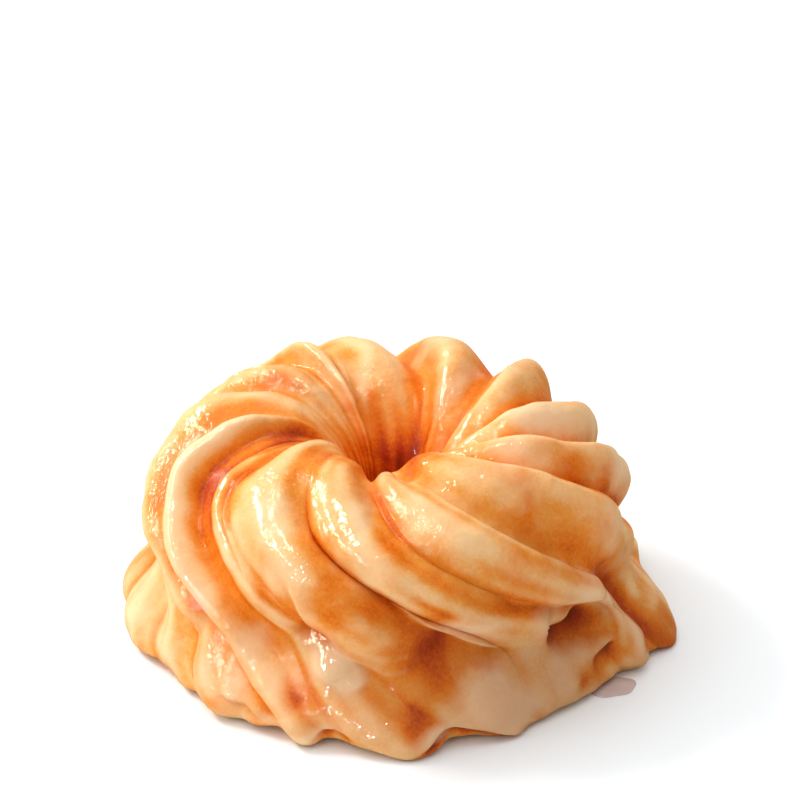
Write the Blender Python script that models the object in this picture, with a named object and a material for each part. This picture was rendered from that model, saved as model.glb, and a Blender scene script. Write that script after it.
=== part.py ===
"""Cruller doughnut: a piped ring of fried dough with fourteen swirling ridges, as one closed solid.

Run it with: blender --background --python part.py
The ring rests on the table, with +Z up and its middle over the origin. The dimensions below are in
millimetres and degrees, and the mesh is made in metres.

The surface is a grid of two numbers. The way around the ring is counted in ridges, so that every whole
number is a seam between two ridges. The way round the section is counted in stations, from where the
foot meets the table, up the outside, over the crest, down through the hole and back along the underside.
"""

from dataclasses import dataclass

import bmesh
import bpy
import numpy as np

MM = 0.001
STEPS_PER_RIDGE = 8
STEPS_PER_STATION = (4, 4, 5, 5, 5, 4, 3, 3, 3, 3, 3)
FULLNESS = 2.5
CREST_HEIGHT = 40.5
CREST_RADIUS = 24.0
BELLY_RADIUS = 41.8
FOOT_RADIUS = 46.0
CORE_RADIUS = 24.0
CORE_HEIGHT = 18.0
CONTACT_TURN = 2
UNDERSIDE_SHARES = (0.05, 0.22, 0.65)
DOUGH_COLOUR = (0.72, 0.38, 0.13, 1.0)


@dataclass(frozen=True)
class Station:
    """A named place on the way round the section.

    radius and height place the ridge tops there, and groove is how deep a seam lies below them.
    The shares say how far the station follows each ridge's own crest height, crest radius, belly
    radius and foot radius. side is which of a seam's four depths holds there, leaning how much of a
    ridge's lean, and edge how much of its flanks' steepness.
    """

    name: str
    radius: float
    height: float
    groove: float
    lift: float
    drift: float
    swell: float
    spread: float
    side: float
    leaning: float
    edge: float


@dataclass(frozen=True)
class Ridge:
    """One piped ridge, with the seam before it.

    seam holds the seam's angle round the ring at the foot, waist, belly, shoulder, crest, inner rim and
    throat, and depths how deep it is, as a share of the usual groove, at the foot, the side, the crest
    and the hole. lean is the share of the ridge's width by which its top is pushed to the next ridge.
    left and right say how steep its flanks are: 0 is a soft slope that runs out into the valley, and 1
    is round and meets the seam square. sinks are how far its top lies below its neighbours', in
    millimetres, at the foot, the side, the crest and the hole. floor is the share of its right flank
    that lies flat in the valley.
    """

    seam: tuple
    depths: tuple
    crest_height: float
    crest_radius: float
    belly_radius: float
    foot_radius: float
    lean: float
    left: float
    right: float
    sinks: tuple = (0.0, 0.0, 0.0, 0.0)
    floor: float = 0.0


@dataclass(frozen=True)
class Lump:
    """A soft rise or, with a negative height, a hollow, at an angle and a station."""

    angle: float
    station: float
    half_angle: float
    half_station: float
    height: float


STATIONS = (
    Station("contact", 43.5, 0.0, 1.5, 0.0, 0.0, 0.0, 0.9, 0.0, 0.0, 0.4),
    Station("foot", FOOT_RADIUS, 3.5, 2.5, 0.0, 0.0, 0.0, 1.0, 0.0, 0.3, 0.6),
    Station("waist", 40.5, 12.0, 3.5, 0.15, 0.0, 0.8, 0.35, 0.5, 0.65, 1.0),
    Station("belly", BELLY_RADIUS, 24.0, 5.0, 0.5, 0.0, 1.0, 0.0, 1.0, 1.0, 1.0),
    Station("shoulder", 36.0, 35.0, 5.5, 0.9, 0.4, 0.6, 0.0, 1.0, 1.0, 1.0),
    Station("crest", CREST_RADIUS, CREST_HEIGHT, 4.8, 1.0, 1.0, 0.1, 0.0, 2.0, 1.0, 0.35),
    Station("inner rim", 13.0, 37.0, 3.2, 0.95, 0.9, 0.0, 0.0, 2.7, 0.65, 0.3),
    Station("throat", 6.0, 25.0, 1.5, 0.5, 0.3, 0.0, 0.0, 3.0, 0.3, 0.6),
    Station("lower hole", 6.5, 10.0, 0.8, 0.1, 0.0, 0.0, 0.0, 3.0, 0.0, 0.3),
    Station("hole mouth", 10.5, 0.0, 1.0, 0.0, 0.0, 0.0, 0.0, 1.5, 0.0, 0.2),
    Station("underside", 27.0, -0.6, 1.6, 0.0, 0.0, 0.0, 0.0, 0.0, 0.0, 0.2),
)

RIDGES = (
    Ridge((281, 263, 242, 221, 217, 220, 226), (0.5, 0.6, 0.7, 0.4), 41, 24, 42, 43.5, -0.02, 0.8, 0.65),
    Ridge((301, 299, 275, 250, 240, 236, 236), (0.2, 0.85, 0.15, 0.15), 39.6, 24.5, 42, 42.5, -0.08, 0.9, 0.3),
    Ridge((329, 333, 301, 276, 264, 258, 250), (0.4, 0.4, 0.6, 0.5), 38.4, 25, 42, 45.5, 0.0, 0.7, 0.8),
    Ridge((341, 340, 321, 303, 283, 271, 262), (1.6, 0.65, 0.25, 0.2), 40, 24.5, 41.5, 47, 0.14, 0.0, 0.6),
    Ridge((372, 366, 354, 339, 319, 301, 284), (1.3, 1.0, 0.8, 0.5), 39.8, 24, 41, 48, 0.12, 0.2, 0.6),
    Ridge((408, 395, 380, 363, 342, 324, 306), (1.0, 1.1, 0.9, 0.6), 39.8, 23.5, 41.5, 46, 0.12, 0.3, 0.6),
    Ridge((435, 420, 406, 391, 373, 348, 324), (1.0, 1.1, 0.9, 0.7), 41, 23.5, 42, 45, 0.08, 0.4, 0.4),
    Ridge((470, 455, 435, 419, 404, 386, 362), (1.0, 1.1, 0.9, 0.7), 41.6, 24, 41, 45.5, 0.05, 0.4, 0.3),
    Ridge((508, 495, 470, 452, 443, 427, 412), (1.0, 1.3, 1.0, 0.6), 40.8, 24, 41.5, 46.5, 0.02, 0.4, 0.3),
    Ridge((538, 528, 505, 486, 478, 479, 474), (1.0, 1.0, 0.4, 0.3), 42.3, 24, 40.5, 45.5, 0.0, 0.2, 0.2),
    Ridge((560, 552, 521, 500, 493, 489, 486), (0.8, 0.7, 0.5, 0.2), 39.8, 24, 41.5, 42.5, -0.08, 0.2, 0.2),
    Ridge((580, 568, 542, 520, 514, 510, 506), (0.8, 0.8, 0.55, 0.15), 40, 24, 42, 44, -0.12, 0.2, 0.1),
    Ridge(
        (602, 584, 563, 548, 543, 546, 552), (1.0, 0.9, 0.6, 0.15), 41, 24, 42.5, 45, -0.05, 0.2, 0.1,
        floor=0.45,
    ),
    Ridge(
        (617, 606, 588, 571, 565, 568, 574), (0.6, 0.9, 0.8, 0.3), 40.5, 24, 41.5, 45.5, -0.15, 0.5, 0.0,
        sinks=(0.0, 3.0, 3.2, 1.0),
    ),
)

LUMPS = (
    Lump(angle=281, station=2.30, half_angle=8, half_station=0.35, height=-3.0),
    Lump(angle=321, station=1.90, half_angle=7, half_station=0.30, height=-3.5),
    Lump(angle=328, station=1.10, half_angle=5, half_station=0.30, height=-2.2),
    Lump(angle=251, station=2.40, half_angle=7, half_station=0.25, height=-2.0),
    Lump(angle=218, station=1.90, half_angle=4, half_station=0.30, height=-2.0),
    Lump(angle=208, station=1.60, half_angle=4, half_station=0.50, height=1.0),
    Lump(angle=223, station=1.20, half_angle=4, half_station=0.40, height=1.0),
    Lump(angle=292, station=1.35, half_angle=6, half_station=0.35, height=1.2),
    Lump(angle=346, station=0.65, half_angle=9, half_station=0.60, height=5.2),
    Lump(angle=324, station=2.75, half_angle=4, half_station=0.30, height=1.5),
    Lump(angle=276, station=0.60, half_angle=6, half_station=0.50, height=1.5),
    Lump(angle=288, station=0.50, half_angle=4, half_station=0.60, height=-0.8),
    Lump(angle=298, station=0.70, half_angle=3, half_station=0.40, height=0.8),
    Lump(angle=307, station=0.60, half_angle=5, half_station=0.60, height=0.7),
    Lump(angle=211, station=0.60, half_angle=5, half_station=0.60, height=-0.9),
    Lump(angle=227, station=0.70, half_angle=5, half_station=0.60, height=1.3),
    Lump(angle=236, station=0.60, half_angle=3, half_station=0.60, height=-1.4),
    Lump(angle=341, station=0.55, half_angle=3.5, half_station=0.55, height=-3.4),
    Lump(angle=5, station=1.20, half_angle=7, half_station=0.40, height=-1.8),
    Lump(angle=257, station=0.60, half_angle=4, half_station=0.60, height=-1.6),
    Lump(angle=168, station=1.10, half_angle=8, half_station=0.60, height=1.2),
    Lump(angle=192, station=0.60, half_angle=6, half_station=0.50, height=-1.0),
    Lump(angle=283, station=0.45, half_angle=3, half_station=0.50, height=-1.0),
    Lump(angle=335, station=0.60, half_angle=4, half_station=0.50, height=-0.8),
    Lump(angle=12, station=0.85, half_angle=8, half_station=0.50, height=-1.7),
    Lump(angle=345, station=3.00, half_angle=5, half_station=0.35, height=-1.2),
    Lump(angle=132, station=4.15, half_angle=7, half_station=0.45, height=-1.7),
    Lump(angle=278, station=5.55, half_angle=6, half_station=0.35, height=-1.8),
)

RIDGE_COUNT = len(RIDGES)
STATION_COUNT = len(STATIONS)


def smooth_weights(share):
    """Catmull-Rom weights of the values before, at, after and two after a share of the way."""
    square = share**2
    cube = share**3
    return (
        0.5 * (2 * square - share - cube),
        0.5 * (2 - 5 * square + 3 * cube),
        0.5 * (share + 4 * square - 3 * cube),
        0.5 * (cube - square),
    )


def along_loop(values, place):
    """Value of the smooth closed curve through values, which sit at the whole numbers."""
    values = np.asarray(values, dtype=float)
    whole = np.floor(place).astype(int)
    weights = smooth_weights(place - whole)
    near = [values[(whole + offset) % len(values)] for offset in (-1, 0, 1, 2)]
    return sum(weight * value for weight, value in zip(weights, near))


def of_stations(name, place):
    """A Station field, at places round the section."""
    return along_loop([getattr(station, name) for station in STATIONS], place)


def of_ridges(name, around):
    """A Ridge field, blended from the middle of each ridge to the middle of the next."""
    return along_loop([getattr(ridge, name) for ridge in RIDGES], around - 0.5)


def seam_stations(ridge):
    """Angles of the seam before a ridge at all stations, the last of which lead back to the foot."""
    foot = ridge.seam[0]
    throat = ridge.seam[-1]
    back = [throat + share * (foot - throat) for share in UNDERSIDE_SHARES]
    return (foot + CONTACT_TURN, *ridge.seam, *back)


SEAM_ANGLES = np.array([seam_stations(ridge) for ridge in RIDGES], dtype=float)
SEAM_DEPTHS = np.array([ridge.depths for ridge in RIDGES], dtype=float)
TOP_SINKS = np.array([ridge.sinks for ridge in RIDGES], dtype=float)
LEANS = np.array([ridge.lean for ridge in RIDGES], dtype=float)
LEFT_STEEPNESS = np.array([ridge.left for ridge in RIDGES], dtype=float)
RIGHT_STEEPNESS = np.array([ridge.right for ridge in RIDGES], dtype=float)
VALLEY_FLOORS = np.array([ridge.floor for ridge in RIDGES], dtype=float)


def seam_angle(number, place):
    """Angle in degrees of a seam, whose number may pass a full turn, at places round the section."""
    turns, row = np.divmod(number, RIDGE_COUNT)
    whole = np.floor(place).astype(int)
    weights = smooth_weights(place - whole)
    angle = 360.0 * turns
    for offset, weight in zip((-1, 0, 1, 2), weights):
        angle = angle + weight * SEAM_ANGLES[row, (whole + offset) % STATION_COUNT]
    return angle


def by_side(table, number, side):
    """Value for a ridge or seam from a table with columns for foot 0, flank 1, crest 2 and hole 3."""
    low = np.clip(np.floor(side).astype(int), 0, 2)
    share = np.clip(side, 0.0, 3.0) - low
    row = number % RIDGE_COUNT
    return table[row, low] * (1.0 - share) + table[row, low + 1] * share


def ridge_profile(number, across, place):
    """Outline of a ridge: the share of its width that each place is at, and its height from 0 to 1.

    A soft flank is 1 less a cosine to the power of FULLNESS, which is flat in the valley and broad on
    top. A steep one is a quarter circle, which stands square on its seam. Steepness mixes the two.
    """
    row = number % RIDGE_COUNT
    first = across < 0.5
    steep = np.where(first, LEFT_STEEPNESS[row], RIGHT_STEEPNESS[row]) * of_stations("edge", place)
    climb = 2.0 * np.minimum(across, 1.0 - across)
    way = (1.0 - steep) * climb + steep * (1.0 - np.cos(0.5 * np.pi * climb))
    flat = np.where(first, 0.0, VALLEY_FLOORS[row])
    raised = np.clip((way - flat) / (1.0 - flat), 0.0, 1.0)
    soft = 1.0 - np.cos(0.5 * np.pi * raised) ** FULLNESS
    rise = (1.0 - steep) * soft + steep * np.sqrt(1.0 - (1.0 - raised) ** 2)
    top = 0.5 + LEANS[row] * of_stations("leaning", place)
    return np.where(first, top * way, 1.0 - (1.0 - top) * way), rise


def hull(around, place):
    """Radius and height of the ridge tops, before seams and lumps."""
    swell = of_ridges("belly_radius", around) - BELLY_RADIUS
    spread = of_ridges("foot_radius", around) - FOOT_RADIUS
    drift = of_ridges("crest_radius", around) - CREST_RADIUS
    lift = of_ridges("crest_height", around) - CREST_HEIGHT
    radius = of_stations("radius", place) + swell * of_stations("swell", place)
    radius = radius + spread * of_stations("spread", place) + drift * of_stations("drift", place)
    return radius, of_stations("height", place) + lift * of_stations("lift", place)


def away_from_core(radius, height):
    """Direction in the section's plane that leads away from the middle of the dough."""
    run = radius - CORE_RADIUS
    climb = height - CORE_HEIGHT
    length = np.hypot(run, climb)
    return run / length, climb / length


def lump_height(angle, place):
    """Sum of the soft lumps and hollows: bell curves in angle and station."""
    height = np.zeros_like(angle)
    for lump in LUMPS:
        turn = (angle - lump.angle + 180.0) % 360.0 - 180.0
        way = (place - lump.station + STATION_COUNT / 2) % STATION_COUNT - STATION_COUNT / 2
        height += lump.height * np.exp(-((turn / lump.half_angle) ** 2) - (way / lump.half_station) ** 2)
    return height


def ring_surface(around, place):
    """Points of the ring, in millimetres.

    Each ridge rises from the groove before it to the hull and falls to the groove after it. The grooves
    stand in from the hull, towards the core, and nothing reaches below the table.
    """
    number = np.floor(around).astype(int)
    across = around - number
    share, arch = ridge_profile(number, across, place)
    before = seam_angle(number, place)
    after = seam_angle(number + 1, place)
    angle = before + (after - before) * share

    side = of_stations("side", place)
    blend = 0.5 - 0.5 * np.cos(np.pi * across)
    depth = by_side(SEAM_DEPTHS, number, side) * (1.0 - blend)
    depth += by_side(SEAM_DEPTHS, number + 1, side) * blend
    groove = of_stations("groove", place) * depth * (1.0 - arch)
    offset = lump_height(angle, place) - groove - by_side(TOP_SINKS, number, side) * arch
    radius, height = hull(around, place)
    out, up = away_from_core(radius, height)
    radius = radius + out * offset
    height = np.maximum(height + up * offset, 0.0)
    turn = np.radians(angle)
    return np.stack([radius * np.cos(turn), radius * np.sin(turn), height], axis=-1)


def section_places():
    """Places round the section, with the stations' own numbers of steps between them."""
    places = [station + np.arange(steps) / steps for station, steps in enumerate(STEPS_PER_STATION)]
    return np.concatenate(places)


def build_ring():
    """Make the ring's closed mesh, with the middle of its bounds over the origin."""
    around = np.arange(RIDGE_COUNT * STEPS_PER_RIDGE) / STEPS_PER_RIDGE
    places = section_places()
    points = ring_surface(*np.meshgrid(around, places, indexing="ij"))
    middle = 0.5 * (points.max(axis=(0, 1)) + points.min(axis=(0, 1)))
    points[..., :2] -= middle[:2]

    columns, rows = points.shape[:2]
    corner = np.arange(columns * rows).reshape(columns, rows)
    ahead = np.roll(corner, -1, axis=0)
    faces = np.stack([corner, ahead, np.roll(ahead, -1, axis=1), np.roll(corner, -1, axis=1)], axis=-1)
    mesh = bpy.data.meshes.new("cruller")
    mesh.from_pydata((points * MM).reshape(-1, 3).tolist(), [], faces.reshape(-1, 4).tolist())

    shape = bmesh.new()
    shape.from_mesh(mesh)
    bmesh.ops.triangulate(shape, faces=shape.faces[:], quad_method="SHORT_EDGE")
    bmesh.ops.recalc_face_normals(shape, faces=shape.faces[:])
    shape.to_mesh(mesh)
    shape.free()
    mesh.shade_smooth()
    return mesh


def dough_material():
    """Fried dough under a thin, glossy sugar glaze."""
    material = bpy.data.materials.new("glazed dough")
    material.use_nodes = True
    shader = material.node_tree.nodes["Principled BSDF"]
    shader.inputs["Base Color"].default_value = DOUGH_COLOUR
    shader.inputs["Roughness"].default_value = 0.35
    shader.inputs["Metallic"].default_value = 0.0
    return material


def main():
    """Clear the scene and build the cruller."""
    for thing in list(bpy.data.objects):
        bpy.data.objects.remove(thing, do_unlink=True)
    cruller = bpy.data.objects.new("cruller", build_ring())
    cruller.data.materials.append(dough_material())
    bpy.context.scene.collection.objects.link(cruller)


main()
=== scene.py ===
"""Looks of a glazed cruller doughnut, built round its solid.

The doughnut is one fine surface over the same swirl of piped ridges as the solid, with the dough's
unevenness, the sugar glaze's drops and torn sheets and the irregular edge of its foot worked into it.
A small pool of glaze lies on the table beside it. Sizes are in millimetres and degrees until a mesh is
made, which is in metres. +Z is up, and -Y is the side that faces the camera.
"""

import logging
import math
from dataclasses import dataclass, field
from enum import Enum

import bpy
import numpy as np
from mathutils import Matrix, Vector


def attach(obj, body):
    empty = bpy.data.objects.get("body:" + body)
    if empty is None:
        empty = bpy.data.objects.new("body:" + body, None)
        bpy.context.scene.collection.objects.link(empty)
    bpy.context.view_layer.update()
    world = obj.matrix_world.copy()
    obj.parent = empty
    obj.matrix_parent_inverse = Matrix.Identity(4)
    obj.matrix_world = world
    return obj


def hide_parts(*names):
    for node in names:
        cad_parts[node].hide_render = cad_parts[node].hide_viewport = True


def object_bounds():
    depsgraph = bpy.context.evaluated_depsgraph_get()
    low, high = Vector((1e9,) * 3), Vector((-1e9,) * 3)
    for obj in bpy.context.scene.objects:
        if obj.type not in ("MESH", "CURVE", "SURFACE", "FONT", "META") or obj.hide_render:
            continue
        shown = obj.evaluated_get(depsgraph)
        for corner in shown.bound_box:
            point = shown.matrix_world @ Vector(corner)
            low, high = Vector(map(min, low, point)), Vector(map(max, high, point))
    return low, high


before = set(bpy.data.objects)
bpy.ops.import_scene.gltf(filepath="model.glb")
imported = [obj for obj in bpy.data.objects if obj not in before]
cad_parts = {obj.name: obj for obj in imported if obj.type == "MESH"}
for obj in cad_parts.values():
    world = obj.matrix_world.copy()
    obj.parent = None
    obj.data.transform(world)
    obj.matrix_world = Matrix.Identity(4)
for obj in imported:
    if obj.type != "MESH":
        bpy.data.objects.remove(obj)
SOLID_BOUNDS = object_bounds()

MM = 0.001
LOG = logging.getLogger("cruller")

Array = np.ndarray
Colour = tuple[float, float, float, float]


def srgb(red: int, green: int, blue: int) -> Colour:
    """Linear colour, with full alpha, of display values from 0 to 255.

    Args:
        red: Red display value.
        green: Green display value.
        blue: Blue display value.

    Returns:
        The linear colour that a shader's socket takes.
    """
    shares = [value / 255.0 for value in (red, green, blue)]
    linear = [share / 12.92 if share <= 0.04045 else ((share + 0.055) / 1.055) ** 2.4 for share in shares]
    return (*linear, 1.0)


def smooth_step(value: Array, low: float, high: float) -> Array:
    """Soft switch from 0 below low to 1 above high, with no corner at either end.

    Args:
        value: Values to switch on.
        low: Where the switch begins.
        high: Where the switch ends.

    Returns:
        The cubic 3s^2 - 2s^3 of the share s of the way from low to high.
    """
    share = np.clip((value - low) / (high - low), 0.0, 1.0)
    return share * share * (3.0 - 2.0 * share)


def window(value: Array, stops: tuple[float, float, float, float]) -> Array:
    """Soft window, which is 1 between the middle stops and 0 outside the outer ones.

    Args:
        value: Values to look at.
        stops: Where the window begins to open, is open, begins to close and is closed.

    Returns:
        The product of a soft switch on and a soft switch off.
    """
    return smooth_step(value, *stops[:2]) * (1.0 - smooth_step(value, *stops[2:]))


def curve_weights(share: Array) -> tuple[Array, ...]:
    """Catmull-Rom weights of the values before, at, after and two after a place.

    Args:
        share: Share of the way from the value at the place to the value after it.

    Returns:
        Four cubic weights, whose sum is 1.
    """
    square = share**2
    cube = share**3
    return (
        0.5 * (2 * square - share - cube),
        0.5 * (2 - 5 * square + 3 * cube),
        0.5 * (share + 4 * square - 3 * cube),
        0.5 * (cube - square),
    )


@dataclass(frozen=True)
class Spread:
    """The surface unrolled flat: the way round at one usual radius, and the way along the section."""

    radius: float
    reaches: tuple[float, ...]

    def flat(self, angle: Array, place: Array, start: float) -> Array:
        """Flat position of places on the surface.

        Args:
            angle: Angles round the ring, in degrees.
            place: Places round the section, in stations.
            start: Angle that lies at the flat position's zero.

        Returns:
            Millimetres round the ring from the start, and along the section from the table, last.
        """
        turn = (angle - start + 180.0) % 360.0 - 180.0
        across = np.radians(turn) * self.radius
        up = np.interp(place, np.arange(len(self.reaches)), self.reaches)
        return np.stack([across, up], axis=-1)


@dataclass(frozen=True)
class Station:
    """A named place on the way round the section of the ring.

    radius and height place the ridge tops there, and groove is how deep a seam lies below them. The
    shares lift, drift, swell and spread say how far the station follows each ridge's own crest height,
    crest radius, belly radius and foot radius. side is which of a seam's four depths holds there,
    leaning how much of a ridge's lean, and edge how much of its flanks' steepness. steps is how many
    rows of faces lead to the next station.
    """

    name: str
    radius: float
    height: float
    groove: float
    lift: float
    drift: float
    swell: float
    spread: float
    side: float
    leaning: float
    edge: float
    steps: int


@dataclass(frozen=True)
class Ridge:
    """One piped ridge, with the seam before it.

    seam holds the seam's angle round the ring at the foot, waist, belly, shoulder, crest, inner rim and
    throat, and depths how deep it is, as a share of the usual groove, at the foot, the side, the crest
    and the hole. lean is the share of the ridge's width by which its top is pushed to the next ridge.
    left and right say how steep its flanks are: 0 is a soft slope that runs out into the valley, and
    1 is round and meets the seam square. sinks are how far its top lies below its neighbours', in
    millimetres, at the foot, the side, the crest and the hole. floor is the share of its right flank
    that lies flat in the valley.
    """

    seam: tuple[float, ...]
    depths: tuple[float, ...]
    crest_height: float
    crest_radius: float
    belly_radius: float
    foot_radius: float
    lean: float = 0.0
    left: float = 0.3
    right: float = 0.3
    sinks: tuple[float, ...] = (0.0, 0.0, 0.0, 0.0)
    floor: float = 0.0


@dataclass(frozen=True)
class Lump:
    """A soft rise or, with a negative height, a hollow, at an angle and a station."""

    angle: float
    station: float
    half_angle: float
    half_station: float
    height: float
    fullness: float = 1.0

    def rise(self, angle: Array, place: Array, stations: int) -> Array:
        """Bell curve in angle and station, times the height.

        Fullness over 1 gives it a flat top and steep sides.

        Args:
            angle: Angles round the ring, in degrees.
            place: Places round the section, in stations.
            stations: Number of stations in the closed section.

        Returns:
            The rise at each place, in millimetres.
        """
        turn = (angle - self.angle + 180.0) % 360.0 - 180.0
        way = (place - self.station + stations / 2) % stations - stations / 2
        reach = (turn / self.half_angle) ** 2 + (way / self.half_station) ** 2
        return self.height * np.exp(-(reach**self.fullness))


class Tint(Enum):
    """What a patch of the surface shows more of: milky glaze with painted light, toasted dough with painted
    shade, or painted shade alone.
    """

    MILK_AND_LIGHT = "milk_and_light"
    TOAST_AND_SHADE = "toast_and_shade"
    PAINTED_SHADE = "painted_shade"


@dataclass(frozen=True)
class Patch:
    """An area with more milky glaze and painted light, more toasted dough and painted shade, or painted
    shade alone: a Lump whose height is a share.
    """

    tint: Tint
    area: Lump


@dataclass(frozen=True)
class Fold:
    """A lip, step, crease or bead that follows a smooth path over the surface.

    path holds angles and stations. left and right are how far the surface rises beside it, in
    millimetres, on the left and the right of someone who walks along it. They fade over reach, and meet
    over soft. The higher side gets the milky glaze with painted light and the lower side the toasted
    dough with painted shade. wash is more milky glaze and painted light all along it or, if negative,
    more toasted dough and painted shade.
    """

    path: tuple[tuple[float, float], ...]
    left: float = 0.0
    right: float = 0.0
    reach: float = 2.5
    soft: float = 0.7
    milk_and_light: float = 0.0
    toast_and_shade: float = 0.0
    taper: float = 5.0
    wash: float = 0.0
    knots: int = 6

    def line(self) -> Array:
        """The smooth path, as angles and stations.

        Returns:
            Points along the curve that passes smoothly through the path's own points.
        """
        corners = np.array(self.path, dtype=float)
        last = len(corners) - 1
        share = np.linspace(0.0, last, last * self.knots + 1)
        whole = np.minimum(np.floor(share).astype(int), last - 1)
        line = np.zeros((len(share), 2))
        for offset, weight in zip((-1, 0, 1, 2), curve_weights(share - whole)):
            line += weight[:, None] * corners[np.clip(whole + offset, 0, last)]
        return line

    def sides(self, spread: Spread, angle: Array, place: Array) -> tuple[Array, Array]:
        """How strongly each place is on the fold's left and on its right.

        The distance is that to the nearest stretch of the path on the unrolled surface. The strength is
        a bell curve of it, and it tapers to nothing at the path's ends.

        Args:
            spread: The unrolled surface.
            angle: Angles round the ring, in degrees.
            place: Places round the section, in stations.

        Returns:
            The left's and the right's strength at each place, from 0 to 1.
        """
        line = self.line()
        start = line[0, 0]
        track = spread.flat(line[:, 0], line[:, 1], start)
        spots = spread.flat(angle, place, start)
        margin = 3.0 * self.reach
        near = np.all((spots > track.min(axis=0) - margin) & (spots < track.max(axis=0) + margin), axis=-1)
        spots = spots[near]
        nearest = np.full(len(spots), np.inf)
        signed = np.zeros(len(spots))
        walked = np.zeros(len(spots))
        length = 0.0
        for begin, end in zip(track[:-1], track[1:]):
            along = end - begin
            stretch = float(np.hypot(*along))
            gap = spots - begin
            way = np.clip(gap @ along / stretch**2, 0.0, 1.0)
            distance = np.linalg.norm(gap - way[:, None] * along, axis=1)
            closer = distance < nearest
            nearest = np.where(closer, distance, nearest)
            turned = np.sign(along[0] * gap[:, 1] - along[1] * gap[:, 0])
            signed = np.where(closer, distance * turned, signed)
            walked = np.where(closer, length + way * stretch, walked)
            length += stretch
        ends = smooth_step(walked, 0.0, self.taper) * smooth_step(length - walked, 0.0, self.taper)
        strength = np.exp(-((nearest / self.reach) ** 2)) * ends
        switch = smooth_step(signed, -self.soft, self.soft)
        left = np.zeros(angle.shape)
        right = np.zeros(angle.shape)
        left[near] = strength * switch
        right[near] = strength * (1.0 - switch)
        return left, right


@dataclass(frozen=True)
class Ripples:
    """Smooth unevenness: a sum of plane waves in evenly spread directions, seeded so it never changes."""

    wavelength: float
    seed: int
    waves: int = 14

    def at(self, points: Array) -> Array:
        """Height of the ripples, about -1 to 1.

        Args:
            points: Points in millimetres, with x, y, z last.

        Returns:
            Sum of the sines of each point along each wave's direction, scaled by the waves' number.
        """
        dice = np.random.default_rng(self.seed)
        directions = dice.normal(size=(self.waves, 3))
        directions /= np.linalg.norm(directions, axis=1, keepdims=True)
        lengths = self.wavelength * dice.uniform(0.7, 1.5, self.waves)
        phases = dice.uniform(0.0, 2.0 * math.pi, self.waves)
        total = np.zeros(points.shape[:-1])
        for direction, length, phase in zip(directions, lengths, phases):
            total += np.sin(points @ direction * (2.0 * math.pi / length) + phase)
        return total * math.sqrt(2.0 / self.waves) * 0.6


@dataclass(frozen=True)
class Relief:
    """What the ring's surface gives at each grid place."""

    points: Array
    arch: Array
    depth: Array
    angle: Array


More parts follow.
